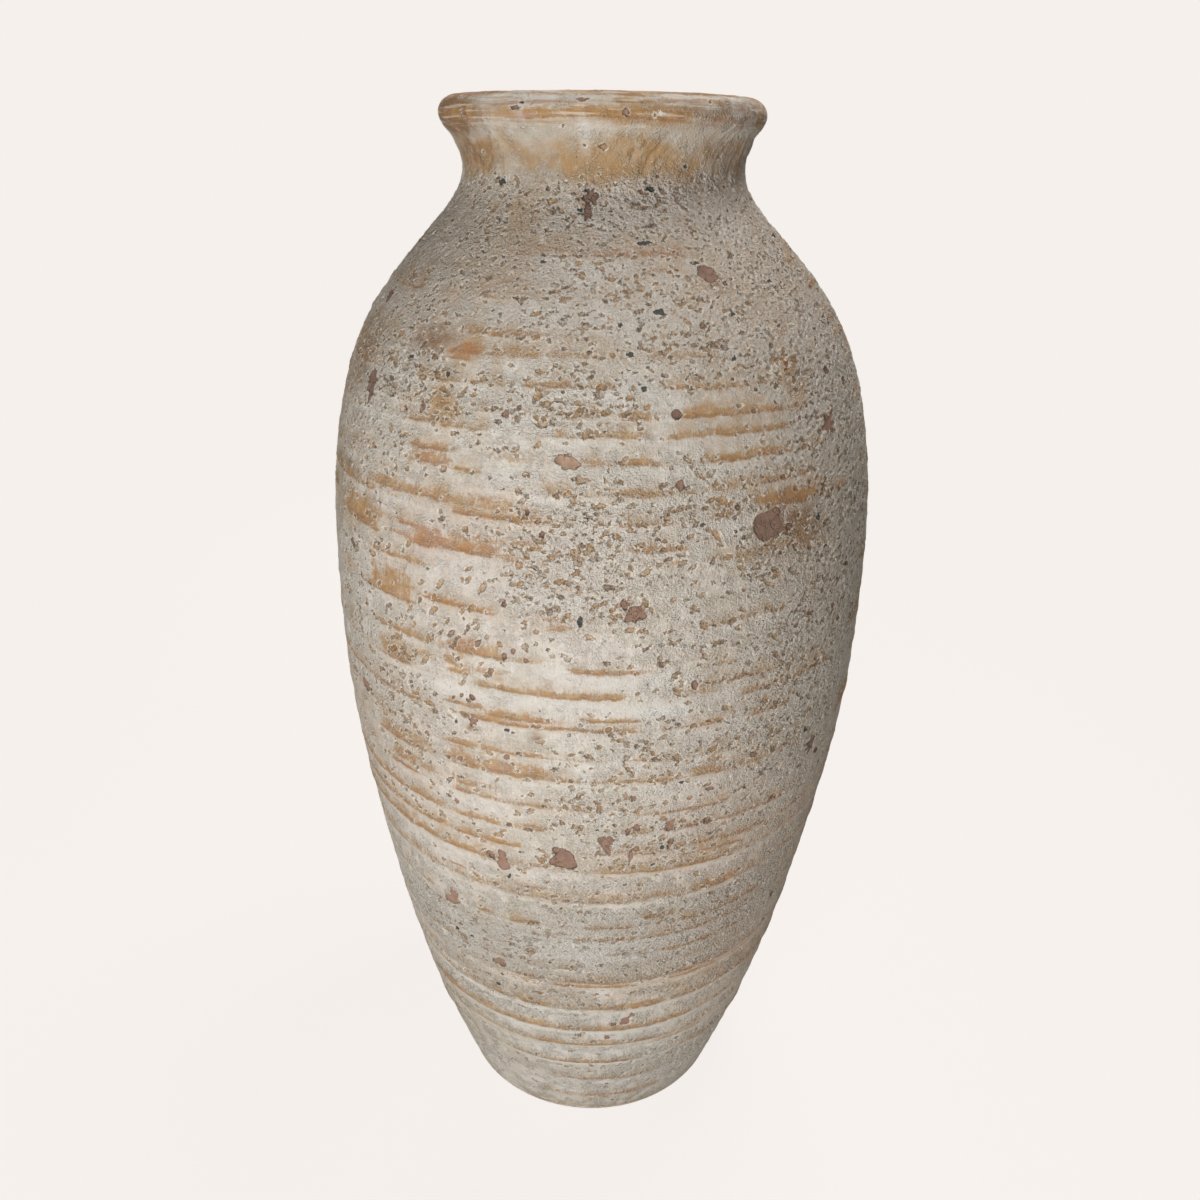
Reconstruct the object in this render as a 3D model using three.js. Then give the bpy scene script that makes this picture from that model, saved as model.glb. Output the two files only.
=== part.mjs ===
// Tall handleless storage jar of weathered, lime-washed earthenware.
//
// A jar this size is thrown and stacked: a flat slab makes the foot, and rings of clay, called
// courses here, are raised on it one after another. The lower edge of each course is pressed as a
// shallow ridge into a matching valley in the edge below, and slip joins the two. The last course is
// drawn in to a short collar, and a rolled coil finishes the rim.
//
// Units are millimetres, +Z is up, and the origin is the middle of the flat underside.

import * as THREE from "three";

// Height of the jar, and of each course from the slab up. The lower and the middle course are the
// long ones, and share what the others leave.
const jarHeight = 700;
const slabHeight = 16;
const footHeight = 104;
const bellyHeight = 90;
const upperHeight = 85;
const shoulderHeight = 60;
const throatHeight = 40;
const collarHeight = 47;
const rimRollHeight = 18;

// Outer radius at the underside, at the top of each course, halfway up the belly course, where the
// jar is widest, and at the waist of the collar.
const underRadius = 100.5;
const slabRadius = 106.1;
const footRadius = 137.5;
const lowerRadius = 161.4;
const bellyRadius = 176.3;
const upperRadius = 163;
const shoulderRadius = 134.2;
const throatRadius = 98.8;
const waistRadius = 84;
const collarRadius = 91.6;

// Wall thickness measured level, at the same places. It is thicker across the sloping shoulder,
// where a level cut runs through the wall at a slant.
const slabWall = 20;
const footWall = 17;
const lowerWall = 15.5;
const middleWall = 14;
const bellyWall = 14;
const upperWall = 15;
const shoulderWall = 17;
const throatWall = 17.5;
const waistWall = 12.5;
const collarWall = 12.6;

// The belly course swells by this much between its two edges, which are equally wide.
const bellySwell = 0.7;

// The waist of the collar lies this far above the collar's lower edge.
const waistRise = 26;

// The rolled rim stands this far out over the collar, outside and inside.
const rimOverhang = 4.6;

// The sharp edge of the foot is rubbed off by this much.
const footBevel = 1.2;

// Scored joint between two courses: depth of the valley, and the layer of slip that fills it.
const jointDepth = 4;
const slipLayer = 0.35;

// Throwing rings left by the fingers: spacing, depth from crest to hollow, and the heights over which
// they come up out of the smooth foot and die away again below the collar.
const ringPitch = 17.5;
const ringDepth = 1.7;
const ringFadeIn = 60;
const ringFadeOut = 90;

// Facets round the jar, height of the facets inside, and steps round the rolled rim.
const facetsRound = 48;
const innerFacet = 34;
const rollSteps = 12;

// One course: its name, its height, the outer radius and wall at its top, and the colour of its wash.
function courseOf(name, height, radius, wall, wash) {
  return { name, height, radius, wall, wash };
}

const footPart = slabHeight + footHeight;
const topPart = bellyHeight + upperHeight + shoulderHeight + throatHeight + collarHeight + rimRollHeight;
const longHeight = (jarHeight - footPart - topPart) / 2;
const bellyEdge = bellyRadius - bellySwell;

// The courses in the order they are raised.
const courses = [
  courseOf("base_slab", slabHeight, slabRadius, slabWall, 0xb3a693),
  courseOf("foot_course", footHeight, footRadius, footWall, 0xb9b1a2),
  courseOf("lower_course", longHeight, lowerRadius, lowerWall, 0xbfb3a2),
  courseOf("middle_course", longHeight, bellyEdge, middleWall, 0xc2b4a2),
  courseOf("belly_course", bellyHeight, bellyEdge, bellyWall, 0xc4b29c),
  courseOf("upper_course", upperHeight, upperRadius, upperWall, 0xc1b2a0),
  courseOf("shoulder_course", shoulderHeight, shoulderRadius, shoulderWall, 0xbcae9c),
  courseOf("throat_course", throatHeight, throatRadius, throatWall, 0xb8ab9a),
  courseOf("neck_collar", collarHeight, collarRadius, collarWall, 0xbfae99),
];

let stacked = 0;
for (const course of courses) {
  course.bottom = stacked;
  stacked += course.height;
  course.top = stacked;
}
const belly = courses.find((course) => course.name === "belly_course");
const collar = courses.find((course) => course.name === "neck_collar");

// Gauge marks that the outline passes through, from the underside up: one at each seam, one at the
// widest place and one at the waist of the collar.
function gaugeMarks() {
  const seams = courses.map((course) => ({ z: course.top, radius: course.radius, wall: course.wall }));
  return [
    { z: 0, radius: underRadius, wall: slabWall },
    ...seams,
    { z: (belly.bottom + belly.top) / 2, radius: bellyRadius, wall: bellyWall },
    { z: collar.bottom + waistRise, radius: waistRadius, wall: waistWall },
  ].sort((one, other) => one.z - other.z);
}

// The curve that a thin batten takes when it is bent past the marks: a natural cubic spline of radius
// over height. It returns a function of height.
function battenThrough(heights, radii) {
  const last = heights.length - 1;
  const bend = new Array(last + 1).fill(0);
  const carry = new Array(last + 1).fill(0);
  const rightSide = new Array(last + 1).fill(0);
  const slope = (i) => (radii[i + 1] - radii[i]) / (heights[i + 1] - heights[i]);
  for (let i = 1; i < last; i += 1) {
    const below = heights[i] - heights[i - 1];
    const above = heights[i + 1] - heights[i];
    const pivot = 2 * (below + above) - below * carry[i - 1];
    carry[i] = above / pivot;
    rightSide[i] = (6 * (slope(i) - slope(i - 1)) - below * rightSide[i - 1]) / pivot;
  }
  for (let i = last - 1; i > 0; i -= 1) {
    bend[i] = rightSide[i] - carry[i] * bend[i + 1];
  }
  return (z) => {
    let i = 0;
    while (i < last - 1 && z > heights[i + 1]) {
      i += 1;
    }
    const span = heights[i + 1] - heights[i];
    const up = (z - heights[i]) / span;
    const down = 1 - up;
    const straight = radii[i] * down + radii[i + 1] * up;
    const bow = ((down ** 3 - down) * bend[i] + (up ** 3 - up) * bend[i + 1]) * (span * span) / 6;
    return straight + bow;
  };
}

const marks = gaugeMarks();
const markHeights = marks.map((mark) => mark.z);
const smoothOuter = battenThrough(markHeights, marks.map((mark) => mark.radius));
const innerRadius = battenThrough(markHeights, marks.map((mark) => mark.radius - mark.wall));

// How strongly the throwing rings show at a height, from 0 to 1.
function ringStrength(z) {
  const rise = THREE.MathUtils.smoothstep(z, slabHeight, slabHeight + ringFadeIn);
  const fall = THREE.MathUtils.smoothstep(z, collar.bottom - ringFadeOut, collar.bottom);
  return rise * (1 - fall);
}

// Outer radius with the throwing rings on it. A ring's crest lies at each whole multiple of the pitch.
function outerRadius(z) {
  const wave = Math.cos((2 * Math.PI * z) / ringPitch);
  return smoothOuter(z) + (ringDepth / 2) * ringStrength(z) * wave;
}

// Heights of the rows between two seams: every crest and hollow of the rings, leaving out those that
// come closer to a seam than a quarter of the pitch.
function ringRows(bottom, top) {
  const rows = [];
  const half = ringPitch / 2;
  for (let i = Math.ceil(bottom / half); i * half < top; i += 1) {
    const z = i * half;
    if (z - bottom > half / 2 && top - z > half / 2) {
      rows.push(z);
    }
  }
  return rows;
}

// Middle of the wall at a height, where the valley and the ridge of a joint lie.
const midWall = (z) => (outerRadius(z) + innerRadius(z)) / 2;

// Edge of a course at a seam, from the outer face to the inner one. A valley in the lower course and
// a ridge under the upper one both reach down by the depth of the joint, a layer of slip apart.
function jointEdge(seam, side) {
  const z = seam + (side * slipLayer) / 2;
  return [
    new THREE.Vector2(outerRadius(z), z),
    new THREE.Vector2(midWall(seam), z - jointDepth),
    new THREE.Vector2(innerRadius(z), z),
  ];
}

// A body of revolution about Z from a closed profile of radius and height.
function turned(profile) {
  const geometry = new THREE.LatheGeometry(profile, facetsRound);
  geometry.rotateX(Math.PI / 2);
  return geometry;
}

// Fired clay under its lime wash: matt, not metallic, of the colour of that part of the jar.
function washedClay(wash) {
  return new THREE.MeshStandardMaterial({ color: wash, roughness: 0.92, metalness: 0 });
}

// The slab: a disc with a rubbed edge, whose rim carries the first valley and whose middle is the
// floor of the jar.
function baseSlab(course) {
  const floor = course.top - slipLayer / 2;
  return turned([
    new THREE.Vector2(0, 0),
    new THREE.Vector2(outerRadius(0) - footBevel, 0),
    new THREE.Vector2(outerRadius(footBevel), footBevel),
    new THREE.Vector2(outerRadius(course.top / 2), course.top / 2),
    ...jointEdge(course.top, -1),
    new THREE.Vector2(0, floor),
  ]);
}

// One course: up the outside over its throwing rings, across its upper edge, down the inside, and
// back along its lower edge.
function thrownCourse(course) {
  const { bottom, top } = course;
  const outside = ringRows(bottom, top).map((z) => new THREE.Vector2(outerRadius(z), z));
  const inside = [];
  const steps = Math.ceil((top - bottom) / innerFacet);
  for (let i = steps - 1; i > 0; i -= 1) {
    const z = THREE.MathUtils.lerp(bottom, top, i / steps);
    inside.push(new THREE.Vector2(innerRadius(z), z));
  }
  const upperEdge = jointEdge(top, -1);
  const lowerEdge = jointEdge(bottom, 1);
  return turned([
    lowerEdge[0],
    ...outside,
    ...upperEdge,
    ...inside,
    lowerEdge[2],
    lowerEdge[1],
    lowerEdge[0].clone(),
  ]);
}

// The rolled rim: an oval coil on the collar's upper edge. The oval is wider than the wall by the
// overhang on each side, and is cut where it is as narrow as the wall, so that it sits on the edge.
function rimRoll() {
  const lowerEdge = jointEdge(collar.top, 1);
  const halfWall = (lowerEdge[0].x - lowerEdge[2].x) / 2;
  const middle = (lowerEdge[0].x + lowerEdge[2].x) / 2;
  const halfWidth = halfWall + rimOverhang;
  const start = Math.asin(halfWall / halfWidth);
  const rollTop = collar.top + rimRollHeight;
  const halfHeight = (rollTop - lowerEdge[0].y) / (1 + Math.cos(start));
  const profile = [];
  for (let i = 0; i <= rollSteps; i += 1) {
    const turn = THREE.MathUtils.lerp(start, 2 * Math.PI - start, i / rollSteps);
    const radius = middle + halfWidth * Math.sin(turn);
    profile.push(new THREE.Vector2(radius, rollTop - halfHeight * (1 + Math.cos(turn))));
  }
  profile.push(lowerEdge[1], profile[0].clone());
  return turned(profile);
}

// A named piece of the jar.
function piece(name, geometry, wash) {
  const mesh = new THREE.Mesh(geometry, washedClay(wash));
  mesh.name = name;
  return mesh;
}

const rimWash = 0xc8b08f;

function buildJar() {
  const jar = new THREE.Group();
  const [slab, ...raised] = courses;
  jar.add(piece(slab.name, baseSlab(slab), slab.wash));
  for (const course of raised) {
    jar.add(piece(course.name, thrownCourse(course), course.wash));
  }
  jar.add(piece("rim_roll", rimRoll(), rimWash));
  return jar;
}

export default buildJar();
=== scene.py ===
"""Looks of a tall handleless storage jar: earthenware raised in courses, under a weathered lime wash.

Every course of the jar is a closed mesh of its own, worked out with numpy on one grid that covers the
whole outside of the jar, so two neighbours share the same points along their seam. The jar's own
lengths are millimetres, and become metres when a mesh is filled. Angles go round the jar from the side
in front of the camera, positive to its right.
"""

import logging
import math
from dataclasses import dataclass
from enum import Enum
from functools import partial, reduce
from itertools import product
from typing import Callable, Sequence

import bpy
import numpy as np
from mathutils import Matrix, Vector


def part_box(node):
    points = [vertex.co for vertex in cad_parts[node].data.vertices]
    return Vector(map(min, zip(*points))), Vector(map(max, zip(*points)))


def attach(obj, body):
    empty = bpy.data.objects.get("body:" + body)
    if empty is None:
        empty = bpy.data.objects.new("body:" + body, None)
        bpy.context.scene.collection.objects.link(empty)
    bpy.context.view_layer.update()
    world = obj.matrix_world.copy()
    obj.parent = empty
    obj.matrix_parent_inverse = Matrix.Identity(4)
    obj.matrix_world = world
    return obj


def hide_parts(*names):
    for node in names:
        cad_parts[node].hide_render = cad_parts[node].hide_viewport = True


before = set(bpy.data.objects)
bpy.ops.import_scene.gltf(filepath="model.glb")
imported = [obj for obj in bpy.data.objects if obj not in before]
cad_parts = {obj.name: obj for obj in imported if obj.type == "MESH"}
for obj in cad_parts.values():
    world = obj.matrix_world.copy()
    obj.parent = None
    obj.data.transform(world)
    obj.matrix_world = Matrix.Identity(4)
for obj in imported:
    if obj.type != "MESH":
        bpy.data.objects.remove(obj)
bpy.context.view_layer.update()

log = logging.getLogger("jar")

MM = 0.001
BODY = "root"
COLUMNS = 880
Array = np.ndarray
Node = bpy.types.Node
Socket = bpy.types.NodeSocket
Tree = bpy.types.NodeTree
Material = bpy.types.Material
Colour = tuple[float, float, float, float]
Triple = tuple[float, float, float]
Cell = float | Triple
Value = Socket | float | Colour


def ease(low: float, high: float, value: Array) -> Array:
    """The smooth step 3t^2 - 2t^3, from 0 at low to 1 at high; with low above high it falls instead."""
    t = np.clip((value - low) / (high - low), 0.0, 1.0)
    return t * t * (3.0 - 2.0 * t)


def batten_through(heights: Sequence[float], values: Sequence[float]) -> Callable[[Array], Array]:
    """The curve of a thin batten bent past gauge marks: a natural cubic spline of value over height.

    Between two marks the curve is the straight line plus a cubic bow, whose bends at the marks solve
    the usual three-term equations with no bend at either end.

    Args:
        heights: heights of the marks, rising.
        values: radius at each mark.

    Returns:
        A function of height.
    """
    z = np.asarray(heights, float)
    r = np.asarray(values, float)
    span = np.diff(z)
    slope = np.diff(r) / span
    inner = len(z) - 2
    system = np.zeros((inner, inner))
    np.fill_diagonal(system, 2.0 * (span[:-1] + span[1:]))
    np.fill_diagonal(system[1:], span[1:-1])
    np.fill_diagonal(system[:, 1:], span[1:-1])
    bend = np.concatenate([[0.0], np.linalg.solve(system, 6.0 * np.diff(slope)), [0.0]])

    def curve(height: Array) -> Array:
        """Value of the batten.

        Args:
            height: heights of the points.

        Returns:
            Value at each height.
        """
        place = np.clip(np.searchsorted(z, height, side="right") - 1, 0, len(z) - 2)
        up = (height - z[place]) / span[place]
        down = 1.0 - up
        bow = (down**3 - down) * bend[place] + (up**3 - up) * bend[place + 1]
        return r[place] * down + r[place + 1] * up + bow * span[place] ** 2 / 6.0

    return curve


def into_scene(name: str, data: bpy.types.ID) -> bpy.types.Object:
    """Puts an object into the scene.

    Args:
        name: name of the object.
        data: what it holds.

    Returns:
        The object.
    """
    made = bpy.data.objects.new(name, data)
    bpy.context.scene.collection.objects.link(made)
    return made


class LatticeNoise:
    """Smooth random values in space, blended between random numbers on the corners of a cubic lattice."""

    CELLS = 48

    def __init__(self, seed: int) -> None:
        """Draws the lattice's random numbers, from -1 to 1; the seed fixes them."""
        shape = (self.CELLS,) * 3
        self.corners = np.random.default_rng(seed).uniform(-1, 1, shape).astype(np.float32)

    def at(self, points: Array, size: Cell) -> Array:
        """Noise at some points: the eight corners round each, weighted by a smooth step along each axis.

        Args:
            points: coordinates in millimetres, with the axis first.
            size: edge of a lattice cell in millimetres, the same or one for each axis.

        Returns:
            Values from -1 to 1, in the shape of one coordinate.
        """
        edge = np.broadcast_to(np.asarray(size, np.float32), (3,)).reshape((3,) + (1,) * (points.ndim - 1))
        cell = points / edge
        low = np.floor(cell)
        t = cell - low
        t = t * t * (3.0 - 2.0 * t)
        low = low.astype(np.int32)
        total = np.zeros(points.shape[1:], np.float32)
        for corner in product((0, 1), repeat=3):
            place = [(low[k] + corner[k]) % self.CELLS for k in range(3)]
            weight = math.prod([t[k] if corner[k] else 1.0 - t[k] for k in range(3)])
            total += weight * self.corners[place[0], place[1], place[2]]
        return total

    def layered(self, points: Array, size: float, layers: int) -> Array:
        """Sum of some layers of noise, each half as large and half as strong as the one before.

        Args:
            points: coordinates in millimetres, with the axis first.
            size: edge of the largest lattice cell in millimetres.
            layers: number of layers.

        Returns:
            Values of about -1 to 1.
        """
        total = np.zeros(points.shape[1:], np.float32)
        strength = 1.0
        for _ in range(layers):
            total += strength * self.at(points, size)
            size *= 0.5
            strength *= 0.5
        return total / (2.0 - 2.0 * strength)


@dataclass(frozen=True)
class Course:
    """One piece of the jar: its CAD node, the rows of its outside and inside, and its radius and level
    wall thickness at its upper seam, in millimetres."""

    node: str
    outer_steps: int
    inner_steps: int
    radius: float
    wall: float


# Radius of the belly where it is widest, and at the seams below and above.
BELLY_RADIUS = 176.3
BELLY_EDGE = BELLY_RADIUS - 0.7
SLAB = Course("base_slab", 16, 0, 106.1, 20)
COURSES = (
    Course("foot_course", 92, 10, 137.5, 17),
    Course("lower_course", 98, 11, 161.4, 15.5),
    Course("middle_course", 98, 11, BELLY_EDGE, 14),
    Course("belly_course", 98, 8, BELLY_EDGE, 14),
    Course("upper_course", 96, 8, 163, 15),
    Course("shoulder_course", 90, 8, 134.2, 17),
    Course("throat_course", 76, 10, 98.8, 17.5),
    Course("neck_collar", 72, 30, 91.6, 12.6),
)
ROLL_STEPS = 92


@dataclass(frozen=True)
class JarOutline:
    """The jar's outline in millimetres, bent past gauge marks: at the underside, at each seam, where the
    belly is widest and at the waist of the neck.

    The heights of the seams come from the frame: each course's box ends half a layer of slip below
    its upper seam.
    """

    under_radius: float = 100.5
    belly_radius: float = BELLY_RADIUS
    belly_wall: float = 14.0
    waist_radius: float = 84.0
    waist_wall: float = 12.5
    waist_rise: float = 26.0
    rim_overhang: float = 4.6
    foot_bevel: float = 2.4
    joint_depth: float = 4.0
    slip_layer: float = 0.35

    def seam(self, node: str) -> float:
        """Height of the seam over a course, in millimetres."""
        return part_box(node)[1].z / MM + self.slip_layer / 2.0

    @property
    def top(self) -> float:
        """Height of the jar."""
        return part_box("rim_roll")[1].z / MM

    def marks(self) -> list[tuple[float, float, float]]:
        """Gauge marks from the underside up.

        Returns:
            Height, outer radius and wall thickness of each mark.
        """
        halfway = (self.seam("middle_course") + self.seam("belly_course")) / 2.0
        waist = self.seam("throat_course") + self.waist_rise
        return sorted([
            (0.0, self.under_radius, SLAB.wall),
            (halfway, self.belly_radius, self.belly_wall),
            (waist, self.waist_radius, self.waist_wall),
            *[(self.seam(course.node), course.radius, course.wall) for course in (SLAB, *COURSES)],
        ])

    def outer(self) -> Callable[[Array], Array]:
        """Outer radius over height, with no rings on it."""
        heights, radii, _ = zip(*self.marks())
        return batten_through(heights, radii)

    def inner(self) -> Callable[[Array], Array]:
        """Inner radius over height."""
        heights, radii, walls = zip(*self.marks())
        return batten_through(heights, np.subtract(radii, walls))

    def roll(self, steps: int) -> tuple[Array, Array]:
        """Section of the rolled rim: an oval coil from the collar's outer edge over the top to its inner.

        Radius is the middle of the wall plus half the coil's width times the sine of the turn, and
        height is the top less half the coil's height times one plus the cosine of the turn.

        Args:
            steps: number of steps round the coil.

        Returns:
            Radii and heights.
        """
        collar = COURSES[-1]
        half_wall = collar.wall / 2.0
        half_width = half_wall + self.rim_overhang
        start = math.asin(half_wall / half_width)
        half_height = (self.top - self.seam("neck_collar")) / (1.0 + math.cos(start))
        turn = np.linspace(start, 2.0 * math.pi - start, steps + 1)
        radius = collar.radius - half_wall + half_width * np.sin(turn)
        return radius, self.top - half_height * (1.0 + np.cos(turn))


@dataclass(frozen=True)
class Band:
    """Ochre left on a throwing ring: height of its crisp lower edge, how far up it fades, and its runs.

    A run is the angles between which the ochre shows, in degrees, and its strength from 0 to 1.
    """

    height: float
    rise: float
    runs: tuple[Triple, ...]
    ridge: float = 0.7


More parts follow.
